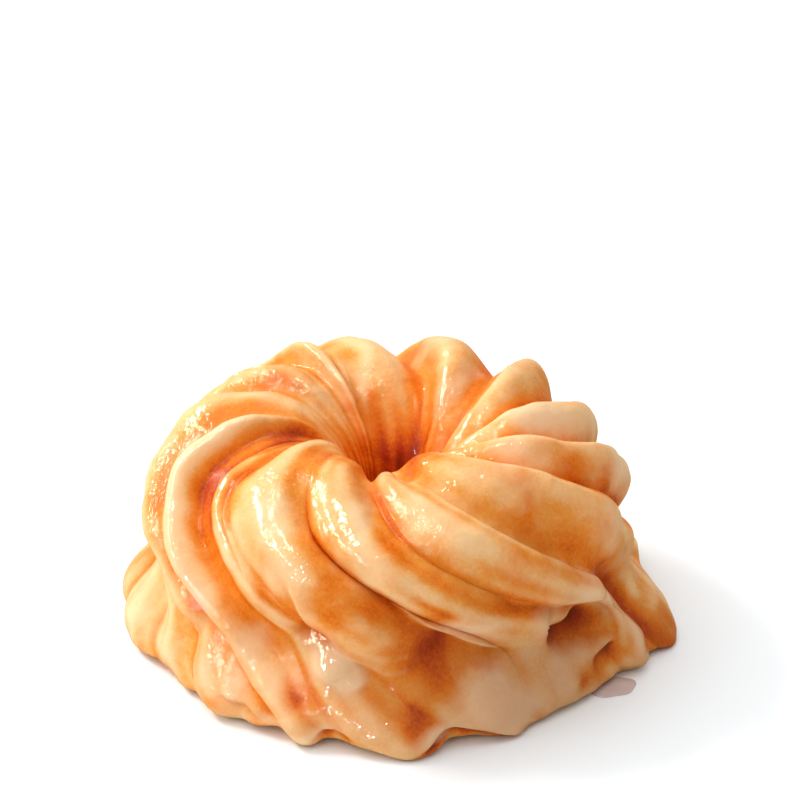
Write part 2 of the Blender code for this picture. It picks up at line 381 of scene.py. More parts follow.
@dataclass
class Ring:
    """The swirl of piped ridges, as a surface over two numbers.

    The way around the ring is counted in ridges, so that every whole number is a seam. The way round
    the section is counted in stations, from where the foot meets the table, up the outside, over the
    crest, down through the hole and back along the underside.
    """

    fullness: float = 2.5
    crest_height: float = 40.5
    crest_radius: float = 24.0
    belly_radius: float = 41.8
    foot_radius: float = 46.0
    core_radius: float = 24.0
    core_height: float = 18.0
    stations: tuple[Station, ...] = (
        Station("contact", 43.5, 0.0, 1.5, 0.0, 0.0, 0.0, 0.9, 0.0, 0.0, 0.4, 16),
        Station("foot", 46.0, 3.5, 2.5, 0.0, 0.0, 0.0, 1.0, 0.0, 0.3, 0.6, 20),
        Station("waist", 40.5, 12.0, 3.5, 0.15, 0.0, 0.8, 0.35, 0.5, 0.65, 1.0, 22),
        Station("belly", 41.8, 24.0, 5.0, 0.5, 0.0, 1.0, 0.0, 1.0, 1.0, 1.0, 22),
        Station("shoulder", 36.0, 35.0, 5.5, 0.9, 0.4, 0.6, 0.0, 1.0, 1.0, 1.0, 24),
        Station("crest", 24.0, 40.5, 4.8, 1.0, 1.0, 0.1, 0.0, 2.0, 1.0, 0.35, 22),
        Station("inner rim", 13.0, 37.0, 3.2, 0.95, 0.9, 0.0, 0.0, 2.7, 0.65, 0.3, 22),
        Station("throat", 6.0, 25.0, 1.5, 0.5, 0.3, 0.0, 0.0, 3.0, 0.3, 0.6, 16),
        Station("lower hole", 6.5, 10.0, 0.8, 0.1, 0.0, 0.0, 0.0, 3.0, 0.0, 0.3, 12),
        Station("hole mouth", 10.5, 0.0, 1.0, 0.0, 0.0, 0.0, 0.0, 1.5, 0.0, 0.2, 10),
        Station("underside", 27.0, -0.6, 1.6, 0.0, 0.0, 0.0, 0.0, 0.0, 0.0, 0.2, 14),
    )
    ridges: tuple[Ridge, ...] = (
        Ridge(
            (281, 263, 242, 221, 217, 220, 226), (0.5, 0.6, 0.7, 0.4),
            41, 24, 42, 43.5, -0.02, 0.8, 0.65,
        ),
        Ridge(
            (301, 299, 275, 250, 240, 236, 236), (0.2, 0.85, 0.15, 0.15),
            39.6, 24.5, 42, 42.5, -0.08, 0.9, 0.3,
        ),
        Ridge(
            (329, 333, 301, 276, 264, 258, 250), (0.4, 0.4, 0.6, 0.5),
            38.4, 25, 42, 45.5, 0.0, 0.7, 0.8,
        ),
        Ridge(
            (341, 340, 321, 303, 283, 271, 262), (1.6, 0.65, 0.25, 0.2),
            40, 24.5, 41.5, 47, 0.14, 0.0, 0.6,
        ),
        Ridge(
            (372, 366, 354, 339, 319, 301, 284), (1.3, 1.0, 0.8, 0.5),
            39.8, 24, 41, 48, 0.12, 0.2, 0.6,
        ),
        Ridge(
            (408, 395, 380, 363, 342, 324, 306), (1.0, 1.1, 0.9, 0.6),
            39.8, 23.5, 41.5, 46, 0.12, 0.3, 0.6,
        ),
        Ridge(
            (435, 420, 406, 391, 373, 348, 324), (1.0, 1.1, 0.9, 0.7),
            41, 23.5, 42, 45, 0.08, 0.4, 0.4,
        ),
        Ridge(
            (470, 455, 435, 419, 404, 386, 362), (1.0, 1.1, 0.9, 0.7),
            41.6, 24, 41, 45.5, 0.05, 0.4, 0.3,
        ),
        Ridge(
            (508, 495, 470, 452, 443, 427, 412), (1.0, 1.3, 1.0, 0.6),
            40.8, 24, 41.5, 46.5, 0.02, 0.4, 0.3,
        ),
        Ridge(
            (538, 528, 505, 486, 478, 479, 474), (1.0, 1.0, 0.4, 0.3),
            42.3, 24, 40.5, 45.5, 0.0, 0.2, 0.2,
        ),
        Ridge(
            (560, 552, 521, 500, 493, 489, 486), (0.8, 0.7, 0.5, 0.2),
            39.8, 24, 41.5, 42.5, -0.08, 0.2, 0.2,
        ),
        Ridge(
            (580, 568, 542, 520, 514, 510, 506), (0.8, 0.8, 0.55, 0.15),
            40, 24, 42, 44, -0.12, 0.2, 0.1,
        ),
        Ridge(
            (602, 584, 563, 548, 543, 546, 552), (1.0, 0.9, 0.6, 0.15),
            41, 24, 42.5, 45, -0.05, 0.2, 0.1, floor=0.45,
        ),
        Ridge(
            (617, 606, 588, 571, 565, 568, 574), (0.6, 0.9, 0.8, 0.3),
            40.5, 24, 41.5, 45.5, -0.15, 0.5, 0.0, sinks=(0.0, 3.0, 3.2, 1.0),
        ),
    )
    lumps: tuple[Lump, ...] = (
        Lump(281, 2.30, 8, 0.35, -3.0),
        Lump(321, 1.90, 7, 0.30, -3.5),
        Lump(328, 1.10, 5, 0.30, -2.2),
        Lump(251, 2.40, 7, 0.25, -2.0),
        Lump(218, 1.90, 4, 0.30, -2.0),
        Lump(208, 1.60, 4, 0.50, 1.0),
        Lump(223, 1.20, 4, 0.40, 1.0),
        Lump(292, 1.35, 6, 0.35, 1.2),
        Lump(346, 0.65, 9, 0.60, 5.2),
        Lump(324, 2.75, 4, 0.30, 1.5),
        Lump(276, 0.60, 6, 0.50, 1.5),
        Lump(288, 0.50, 4, 0.60, -0.8),
        Lump(298, 0.70, 3, 0.40, 0.8),
        Lump(307, 0.60, 5, 0.60, 0.7),
        Lump(211, 0.60, 5, 0.60, -0.9),
        Lump(227, 0.70, 5, 0.60, 1.3),
        Lump(236, 0.60, 3, 0.60, -1.4),
        Lump(341, 0.55, 3.5, 0.55, -3.4),
        Lump(5, 1.20, 7, 0.40, -1.8),
        Lump(257, 0.60, 4, 0.60, -1.6),
        Lump(168, 1.10, 8, 0.60, 1.2),
        Lump(192, 0.60, 6, 0.50, -1.0),
        Lump(283, 0.45, 3, 0.50, -1.0),
        Lump(335, 0.60, 4, 0.50, -0.8),
        Lump(12, 0.85, 8, 0.50, -1.7),
        Lump(345, 3.00, 5, 0.35, -1.2),
        Lump(132, 4.15, 7, 0.45, -1.7),
        Lump(278, 5.55, 6, 0.35, -1.8),
    )

    def __post_init__(self) -> None:
        """Gather the ridges' and stations' fields into arrays."""
        self.seams = np.array([self.seam_at_stations(ridge) for ridge in self.ridges], dtype=float)
        self.depths = np.array([ridge.depths for ridge in self.ridges], dtype=float)
        self.sinks = np.array([ridge.sinks for ridge in self.ridges], dtype=float)
        self.leans = np.array([ridge.lean for ridge in self.ridges], dtype=float)
        self.floors = np.array([ridge.floor for ridge in self.ridges], dtype=float)
        self.steepness = np.array([(ridge.left, ridge.right) for ridge in self.ridges], dtype=float)

    @staticmethod
    def seam_at_stations(ridge: Ridge) -> tuple[float, ...]:
        """Angles of the seam before a ridge at all stations.

        Args:
            ridge: The ridge that follows the seam.

        Returns:
            Its own angles, then those of the underside, which lead back from throat to foot.
        """
        foot = ridge.seam[0]
        throat = ridge.seam[-1]
        back = foot - throat
        return (foot + 2, *ridge.seam, throat + 0.05 * back, throat + 0.22 * back, throat + 0.65 * back)

    def along_loop(self, values: list[float], place: Array) -> Array:
        """Value of the smooth closed curve through values that sit at the whole numbers.

        Args:
            values: The values, one for each whole number.
            place: Places along the loop.

        Returns:
            The curve's value at each place.
        """
        row = np.asarray(values, dtype=float)
        whole = np.floor(place).astype(int)
        total = np.zeros(np.shape(place))
        for offset, weight in zip((-1, 0, 1, 2), curve_weights(place - whole)):
            total += weight * row[(whole + offset) % len(row)]
        return total

    def of_stations(self, name: str, place: Array) -> Array:
        """A Station field, at places round the section."""
        return self.along_loop([getattr(station, name) for station in self.stations], place)

    def of_ridges(self, name: str, around: Array) -> Array:
        """A Ridge field, blended from the middle of each ridge to the middle of the next."""
        return self.along_loop([getattr(ridge, name) for ridge in self.ridges], around - 0.5)

    def seam_angle(self, number: Array, place: Array) -> Array:
        """Angle of a seam at places round the section.

        Args:
            number: Seam numbers, which may pass a full turn.
            place: Places round the section, in stations.

        Returns:
            The angles, in degrees.
        """
        turns, row = np.divmod(number, len(self.ridges))
        whole = np.floor(place).astype(int)
        angle = 360.0 * turns
        for offset, weight in zip((-1, 0, 1, 2), curve_weights(place - whole)):
            angle = angle + weight * self.seams[row, (whole + offset) % len(self.stations)]
        return angle

    def by_side(self, table: Array, number: Array, side: Array) -> Array:
        """Value for a ridge or seam from a table with a column for each side.

        Args:
            table: A row for each ridge, with its values at the foot, the flank, the crest and the hole.
            number: Ridge or seam numbers.
            side: 0 at the foot, 1 on the flank, 2 on the crest and 3 in the hole.

        Returns:
            The values, blended between the sides.
        """
        low = np.clip(np.floor(side).astype(int), 0, 2)
        share = np.clip(side, 0.0, 3.0) - low
        row = number % len(self.ridges)
        return table[row, low] * (1.0 - share) + table[row, low + 1] * share

    def profile(self, number: Array, across: Array, leaning: Array, edge: Array) -> tuple[Array, Array]:
        """The outline of a ridge, from the seam before it to the one after it.

        A soft flank is 1 less a cosine to the power of fullness, which is flat in the valley and broad on
        top. A steep one is a quarter circle, which stands square on its seam. A flank's steepness mixes
        the two.

        Args:
            number: Ridge numbers.
            across: Shares of the way over the ridge, along the grid.
            leaning: How much of the ridge's lean holds there.
            edge: How much of its flanks' steepness holds there.

        Returns:
            The share of the ridge's width that each place is at, and how high it is, from 0 to 1.
        """
        row = number % len(self.ridges)
        first = across < 0.5
        steep = edge * np.where(first, self.steepness[row, 0], self.steepness[row, 1])
        climb = 2.0 * np.minimum(across, 1.0 - across)
        way = (1.0 - steep) * climb + steep * (1.0 - np.cos(0.5 * np.pi * climb))
        flat = np.where(first, 0.0, self.floors[row])
        raised = np.clip((way - flat) / (1.0 - flat), 0.0, 1.0)
        soft = 1.0 - np.cos(0.5 * np.pi * raised) ** self.fullness
        rise = (1.0 - steep) * soft + steep * np.sqrt(1.0 - (1.0 - raised) ** 2)
        top = 0.5 + self.leans[row] * leaning
        return np.where(first, top * way, 1.0 - (1.0 - top) * way), rise

    def hull(self, around: Array, place: Array) -> tuple[Array, Array]:
        """Radius and height of the ridge tops, before seams and lumps.

        Args:
            around: Places around the ring, in ridges.
            place: Places round the section, in stations.

        Returns:
            Radius and height, in millimetres.
        """
        swell = self.of_ridges("belly_radius", around) - self.belly_radius
        spread = self.of_ridges("foot_radius", around) - self.foot_radius
        drift = self.of_ridges("crest_radius", around) - self.crest_radius
        lift = self.of_ridges("crest_height", around) - self.crest_height
        radius = self.of_stations("radius", place) + swell * self.of_stations("swell", place)
        radius += spread * self.of_stations("spread", place) + drift * self.of_stations("drift", place)
        return radius, self.of_stations("height", place) + lift * self.of_stations("lift", place)

    def relief(self, around: Array, place: Array) -> Relief:
        """The ring's surface.

        Each ridge rises from the groove before it to the hull and falls to the groove after it. The
        grooves stand in from the hull, towards the core, and nothing reaches below the table.

        Args:
            around: Places around the ring, in ridges.
            place: Places round the section, in stations.

        Returns:
            Points in millimetres, with how high each is on its arch, how deep its groove is, in
            millimetres, and its angle, in degrees.
        """
        number = np.floor(around).astype(int)
        across = around - number
        leaning = self.of_stations("leaning", place)
        share, arch = self.profile(number, across, leaning, self.of_stations("edge", place))
        before = self.seam_angle(number, place)
        after = self.seam_angle(number + 1, place)
        angle = before + (after - before) * share

        side = self.of_stations("side", place)
        blend = 0.5 - 0.5 * np.cos(np.pi * across)
        depth = self.by_side(self.depths, number, side) * (1.0 - blend)
        depth += self.by_side(self.depths, number + 1, side) * blend
        depth = depth * self.of_stations("groove", place)
        offset = -depth * (1.0 - arch) - self.by_side(self.sinks, number, side) * arch
        for lump in self.lumps:
            offset = offset + lump.rise(angle, place, len(self.stations))
        radius, height = self.hull(around, place)
        run = radius - self.core_radius
        climb = height - self.core_height
        length = np.hypot(run, climb)
        radius = radius + run / length * offset
        height = np.maximum(height + climb / length * offset, 0.0)
        turn = np.radians(angle)
        points = np.stack([radius * np.cos(turn), radius * np.sin(turn), height], axis=-1)
        return Relief(points, arch, depth, angle)

    def spread(self) -> Spread:
        """The usual surface, unrolled.

        Returns:
            The unrolled surface, with the lengths of the section's steps from station to station added up.
        """
        corners = np.array([(station.radius, station.height) for station in self.stations])
        steps = np.hypot(*np.diff(corners, axis=0, append=corners[:1]).T)
        reaches = np.concatenate([[0.0], np.cumsum(steps)])
        return Spread(self.belly_radius, tuple(reaches))

    def middle(self) -> Array:
        """Middle of the bounds, over which the solid stands, from a grid as fine as the solid's.

        Returns:
            The middle's x, y and z, in millimetres.
        """
        around = np.arange(len(self.ridges) * 8) / 8.0
        place = np.arange(len(self.stations) * 4) / 4.0
        points = self.relief(*np.meshgrid(around, place, indexing="ij")).points
        return 0.5 * (points.max(axis=(0, 1)) + points.min(axis=(0, 1)))


class Nodes:
    """Short ways to add and join the nodes of a material or of the surroundings."""

    def __init__(self, owner: bpy.types.Material | bpy.types.World) -> None:
        """Start from an empty node tree with an output.

        Args:
            owner: The material or the world to fill.
        """
        owner.use_nodes = True
        self.tree = owner.node_tree
        self.tree.nodes.clear()
        world = isinstance(owner, bpy.types.World)
        self.output = self.tree.nodes.new("ShaderNodeOutputWorld" if world else "ShaderNodeOutputMaterial")

    def finish(self, shader: bpy.types.Node) -> None:
        """Join the last shader to the output."""
        self.tree.links.new(shader.outputs[0], self.output.inputs["Surface"])

    def add(self, kind: str, inputs: dict | None = None, **settings: object) -> bpy.types.Node:
        """Add a node, with values or links for its inputs.

        Args:
            kind: The node's type.
            inputs: Input names or numbers, each with a value or another node's output.
            settings: The node's own settings.

        Returns:
            The new node.
        """
        node = self.tree.nodes.new(kind)
        for name, value in settings.items():
            setattr(node, name, value)
        for name, value in (inputs or {}).items():
            if isinstance(value, bpy.types.NodeSocket):
                self.tree.links.new(value, node.inputs[name])
            else:
                node.inputs[name].default_value = value
        return node

    def maths(self, operation: str, first: object, second: object = 0.0, clamp: bool = False) -> object:
        """Output of a Math node.

        Args:
            operation: The node's operation.
            first: First value or output.
            second: Second value or output.
            clamp: Whether to hold the result from 0 to 1.

        Returns:
            The node's output.
        """
        node = self.add("ShaderNodeMath", {0: first, 1: second}, operation=operation, use_clamp=clamp)
        return node.outputs[0]

    def centred(self, value: object, strength: float, middle: float = 0.5) -> object:
        """A value less its middle, times a strength.

        Args:
            value: Value or output.
            strength: What to multiply it by.
            middle: What to take off first.

        Returns:
            The node's output.
        """
        return self.maths("MULTIPLY", self.maths("SUBTRACT", value, middle), strength)

    def facing(self, way: object, direction: Vector | tuple[float, float, float]) -> object:
        """How far one direction faces along another, as the cosine of the angle between them.

        Args:
            way: A direction's output.
            direction: The direction to compare it with.

        Returns:
            The node's output.
        """
        node = self.add("ShaderNodeVectorMath", {0: way, 1: direction}, operation="DOT_PRODUCT")
        return node.outputs["Value"]

    def scaled(
        self, value: object, start: float, low: float, high: float, kind: str = "SMOOTHSTEP"
    ) -> object:
        """A value carried from the range of start to 1 over to the range of low to high.

        Args:
            value: Value or output.
            start: Where the first range starts.
            low: Where the second range starts.
            high: Where the second range ends.
            kind: How the ranges are joined.

        Returns:
            The node's output.
        """
        inputs = {"Value": value, "From Min": start, "To Min": low, "To Max": high}
        return self.add("ShaderNodeMapRange", inputs, interpolation_type=kind).outputs["Result"]

    def bump(self, height: object, distance: float, under: object = None, strength: float = 1.0) -> object:
        """Normal of a small relief.

        Args:
            height: The relief's output.
            distance: How high it stands, in metres.
            under: Normal of a coarser relief that it lies on.
            strength: How much of it shows.

        Returns:
            The normal's output.
        """
        inputs = {"Strength": strength, "Distance": distance, "Height": height}
        if under is not None:
            inputs["Normal"] = under
        return self.add("ShaderNodeBump", inputs).outputs[0]

    def noise(self, scale: float, detail: float, roughness: float = 0.5, distortion: float = 0.0) -> object:
        """Value, about 0.5, of noise on the object's own coordinates.

        Args:
            scale: Features to the metre.
            detail: Number of finer octaves.
            roughness: Strength of the finer octaves.
            distortion: How far the pattern is twisted.

        Returns:
            The noise's output.
        """
        place = self.add("ShaderNodeTexCoord").outputs["Object"]
        inputs = {"Vector": place, "Scale": scale, "Detail": detail, "Roughness": roughness}
        inputs["Distortion"] = distortion
        return self.add("ShaderNodeTexNoise", inputs).outputs[0]

    def attribute(self, name: str) -> object:
        """Value of one of the mesh's own attributes."""
        return self.add("ShaderNodeAttribute", attribute_name=name).outputs["Fac"]

    def ramp(self, share: object, stops: tuple[tuple[float, Colour], ...]) -> object:
        """Colour from a row of stops.

        Args:
            share: Place along the row, from 0 to 1.
            stops: Places and their colours.

        Returns:
            The ramp's colour output.
        """
        node = self.add("ShaderNodeValToRGB", {0: share})
        row = node.color_ramp.elements
        while len(row) < len(stops):
            row.new(0.5)
        for element, (place, colour) in zip(row, stops):
            element.position = place
            element.color = colour
        return node.outputs[0]

    def mix(self, share: object, first: object, second: object) -> object:
        """Mix of two colours.

        Args:
            share: Share of the second colour.
            first: First colour or output.
            second: Second colour or output.

        Returns:
            The mixed colour's output.
        """
        node = self.add("ShaderNodeMix", {0: share, 6: first, 7: second}, data_type="RGBA")
        return node.outputs[2]


@dataclass(frozen=True)
class GlazedDough:
    """Golden fried dough under a thin, shiny, slightly milky sugar glaze."""

    pale: Colour = srgb(247, 192, 120)
    golden: Colour = srgb(239, 153, 63)
    orange: Colour = srgb(230, 116, 18)
    red_brown: Colour = srgb(190, 66, 14)
    # Painted shade: the ramp's deepest colour, reached inside the hole where shade falls.
    deepest_shade: Colour = srgb(136, 38, 10)
    # The milky glaze's colour, also mixed in as painted light on shaded sides and as painted highlight.
    milk_and_light: Colour = srgb(253, 213, 167)
    # Painted shade: a brownish colour mixed over the glaze to darken the lower front, the hole's inner
    # slopes and other places in shade.
    painted_shade: Colour = srgb(150, 80, 44)
    mottling: float = 0.8
    specks: float = 0.36
    clouding: float = 0.7
    tearing: float = 0.5
    cover: float = 0.92
    grain_depth: float = 0.00006
    skin_depth: float = 0.00016
    ripple_depth: float = 0.00025
    grain_least: float = 0.2
    grain_above: float = 0.42
    grain_onset: float = 5.0

    def material(self) -> bpy.types.Material:
        """Make the material.

        The dough's colour deepens from the ridge tops to the seams, partly its own colour and partly
        painted shade, and further where it is toasted and where shade is painted in hollows and the hole.
        Milky glaze, partly painted light and painted highlight, lies over it in soft patches with some torn
        edges, a brownish painted shade is mixed over that in places, and a clear coat gives the shine.

        Returns:
            The finished material.
        """
        material = bpy.data.materials.new("glazed dough")
        nodes = Nodes(material)
        uneven = nodes.centred(nodes.noise(110.0, 4.0, 0.55, 0.6), self.mottling)
        speck = nodes.centred(nodes.noise(1900.0, 2.0, 0.6), self.specks)
        # The toasted share holds painted shade in valleys, hollows and the hole besides the dough's own
        # browning.
        depth = nodes.maths("ADD", nodes.maths("ADD", nodes.attribute("toast_and_shade"), uneven), speck, clamp=True)
        stops = (
            (0.0, self.pale),
            (0.28, self.golden),
            (0.55, self.orange),
            (0.80, self.red_brown),
            (1.0, self.deepest_shade),
        )
        dough = nodes.ramp(depth, stops)

        wave = nodes.centred(nodes.noise(260.0, 3.0), self.clouding)
        # The milky film carries painted light on shaded sides and painted highlight besides the real glaze.
        film = nodes.maths("ADD", nodes.attribute("milk_and_light"), wave)
        film = nodes.maths("SUBTRACT", film, nodes.maths("MULTIPLY", uneven, self.tearing), clamp=True)
        glazed = nodes.mix(nodes.maths("MULTIPLY", film, self.cover), dough, self.milk_and_light)
        # Mixes in the painted shade colour as far as its attribute says.
        colour = nodes.mix(nodes.attribute("painted_shade"), glazed, self.painted_shade)

        waves = nodes.bump(nodes.noise(420.0, 2.0), self.ripple_depth)
        rough = self.roughening(nodes)
        shader = nodes.add(
            "ShaderNodeBsdfPrincipled",
            {
                "Base Color": colour,
                "Roughness": 0.45,
                "Specular IOR Level": 0.05,
                "Subsurface Weight": 0.12,
                "Subsurface Radius": (1.0, 0.45, 0.12),
                "Subsurface Scale": 0.004,
                "Coat Weight": nodes.attribute("gloss"),
                "Coat Roughness": 0.03,
                "Coat IOR": 1.4,
                "Normal": nodes.bump(rough, self.grain_depth, waves),
                "Coat Normal": nodes.bump(rough, self.skin_depth, waves),
            },
        )
        nodes.finish(shader)
        return material

    def roughening(self, nodes: Nodes) -> object:
        """Fine sugary grain, strong in patches and weak between them.

        Args:
            nodes: The material's nodes.

        Returns:
            The grain's height.
        """
        pimple = nodes.noise(1500.0, 1.0, 0.7)
        above = nodes.maths("SUBTRACT", nodes.noise(90.0, 1.0), self.grain_above)
        patchy = nodes.maths("MULTIPLY", above, self.grain_onset, clamp=True)
        return nodes.maths("MULTIPLY", pimple, nodes.maths("ADD", patchy, self.grain_least))


@dataclass(frozen=True)
class PooledGlaze:
    """Clear, faintly milky sugar glaze lying on the table."""

    tint: Colour = srgb(214, 198, 192)
    cloudy: Colour = srgb(196, 172, 164)

    def material(self) -> bpy.types.Material:
        """Make the material.

        Returns:
            The finished material.
        """
        material = bpy.data.materials.new("pooled glaze")
        nodes = Nodes(material)
        cloud = nodes.noise(500.0, 2.0)
        colour = nodes.mix(cloud, self.tint, self.cloudy)
        normal = nodes.bump(cloud, 0.0002, strength=0.6)
        inputs = {"Base Color": colour, "Roughness": 0.15, "IOR": 1.42, "Normal": normal}
        shader = nodes.add("ShaderNodeBsdfPrincipled", inputs)
        nodes.finish(shader)
        return material


@dataclass(frozen=True)
class WhiteTable:
    """Plain, matt white table top."""

    white: Colour = srgb(246, 251, 253)

    def material(self) -> bpy.types.Material:
        """Make the material.

        Returns:
            The finished material.
        """
        material = bpy.data.materials.new("white table")
        nodes = Nodes(material)
        inputs = {"Base Color": self.white, "Roughness": 0.9, "Specular IOR Level": 0.1}
        shader = nodes.add("ShaderNodeBsdfPrincipled", inputs)
        nodes.finish(shader)
        return material


def grid_mesh(name: str, points: Array, closed_rows: bool, values: dict[str, Array]) -> bpy.types.Object:
    """Make an object from a grid of points that closes on itself across its columns.

    Args:
        name: The object's name.
        points: Points in millimetres, as columns by rows by x, y, z.
        closed_rows: Whether the last row joins the first. If not, each end gets one cap face.
        values: Names and grids of values, each kept as one of the mesh's attributes.

    Returns:
        The object, linked to the scene.
    """
    columns, rows = points.shape[:2]
    corner = np.arange(columns * rows).reshape(columns, rows)
    ahead = np.roll(corner, -1, axis=0)
    above = np.roll(corner, -1, axis=1)
    quads = np.stack([corner, ahead, np.roll(ahead, -1, axis=1), above], axis=-1)
    if not closed_rows:
        quads = quads[:, :-1]
    faces = quads.reshape(-1, 4).tolist()
    if not closed_rows:
        faces += [corner[::-1, 0].tolist(), corner[:, -1].tolist()]
    mesh = bpy.data.meshes.new(name)
    mesh.from_pydata((points * MM).reshape(-1, 3).tolist(), [], faces)
    for label, grid in values.items():
        layer = mesh.attributes.new(label, "FLOAT", "POINT")
        layer.data.foreach_set("value", grid.astype(np.float32).ravel())
    mesh.shade_smooth()
    thing = bpy.data.objects.new(name, mesh)
    bpy.context.scene.collection.objects.link(thing)
    return thing


@dataclass(frozen=True)
class Film:
    """How toasted the dough, how milky the glaze and how bright its shine is, before patches and folds.

    A look starts from its share on a ridge top. It gains or loses a share in a valley, inside the hole and
    along a streak, and its power shapes how soon the valley's share sets in. The toasted share gained in a
    valley is partly the dough's own colour and partly painted shade; the toasted share gained inside the
    hole and the milky share lost there are painted shade. A valley counts by its depth in valley_depth, up
    to valley_most of it. hole and deep hold the stations where the inside of the hole and its most shaded
    part begin and end. gloss_least is the shine that is always left.
    """

    valley_depth: float = 4.0
    valley_most: float = 1.2
    hole: tuple[float, float, float, float] = (5.6, 7.0, 9.0, 10.0)
    deep: tuple[float, float, float, float] = (6.3, 7.3, 9.5, 10.0)
    toast_top: float = 0.08
    valley_toast_and_shade: float = 0.50
    toast_power: float = 0.8
    hole_painted_shade: float = 0.30
    deep_painted_shade: float = 0.35
    toast_streak: float = 0.14
    toast_wash: float = 0.6
    milk_top: float = 0.42
    milk_valley: float = 0.85
    milk_power: float = 0.7
    hole_milk_painted_shade: float = 0.6
    milk_streak: float = 0.12
    gloss_most: float = 0.65
    gloss_least: float = 0.1
    gloss_valley: float = 0.75
    gloss_power: float = 0.6
    gloss_hole: float = 0.7

    def toast_and_shade(self, valley: Array, place: Array, streaks: Array) -> Array:
        """Toasted share of the dough, with painted shade in valleys and inside the hole.

        Args:
            valley: How deep in a valley each place is, from 0.
            place: Places round the section, in stations.
            streaks: Flow lines, about -1 to 1.

        Returns:
            The shares.
        """
        # Deeper in a valley the dough turns more orange, partly its own colour and partly painted shade.
        share = self.toast_top + self.valley_toast_and_shade * valley**self.toast_power
        # Painted shade inside the hole, with more further in.
        share += self.hole_painted_shade * window(place, self.hole) + self.deep_painted_shade * window(place, self.deep)
        return share + self.toast_streak * streaks

    def milk_and_light(self, valley: Array, place: Array, streaks: Array) -> Array:
        """Milky share of the glaze.

        Args:
            valley: How deep in a valley each place is, from 0.
            place: Places round the section, in stations.
            streaks: Flow lines, about -1 to 1.

        Returns:
            The shares.
        """
        share = self.milk_top - self.milk_valley * valley**self.milk_power
        # Painted shade: less milky glaze inside the hole.
        share -= self.hole_milk_painted_shade * window(place, self.hole)
        return share - self.milk_streak * streaks

    def gloss(self, valley: Array, place: Array, dull: Array) -> Array:
        """Weight of the clear, shiny coat.

        Args:
            valley: How deep in a valley each place is, from 0.
            place: Places round the section, in stations.
            dull: Share of the shine that is lost in dull spots.

        Returns:
            The weights.
        """
        lost = self.gloss_valley * np.clip(valley, 0.0, 1.0) ** self.gloss_power
        lost = lost + self.gloss_hole * window(place, self.hole) + dull
        return self.gloss_most * np.clip(1.0 - lost, self.gloss_least, 1.0)


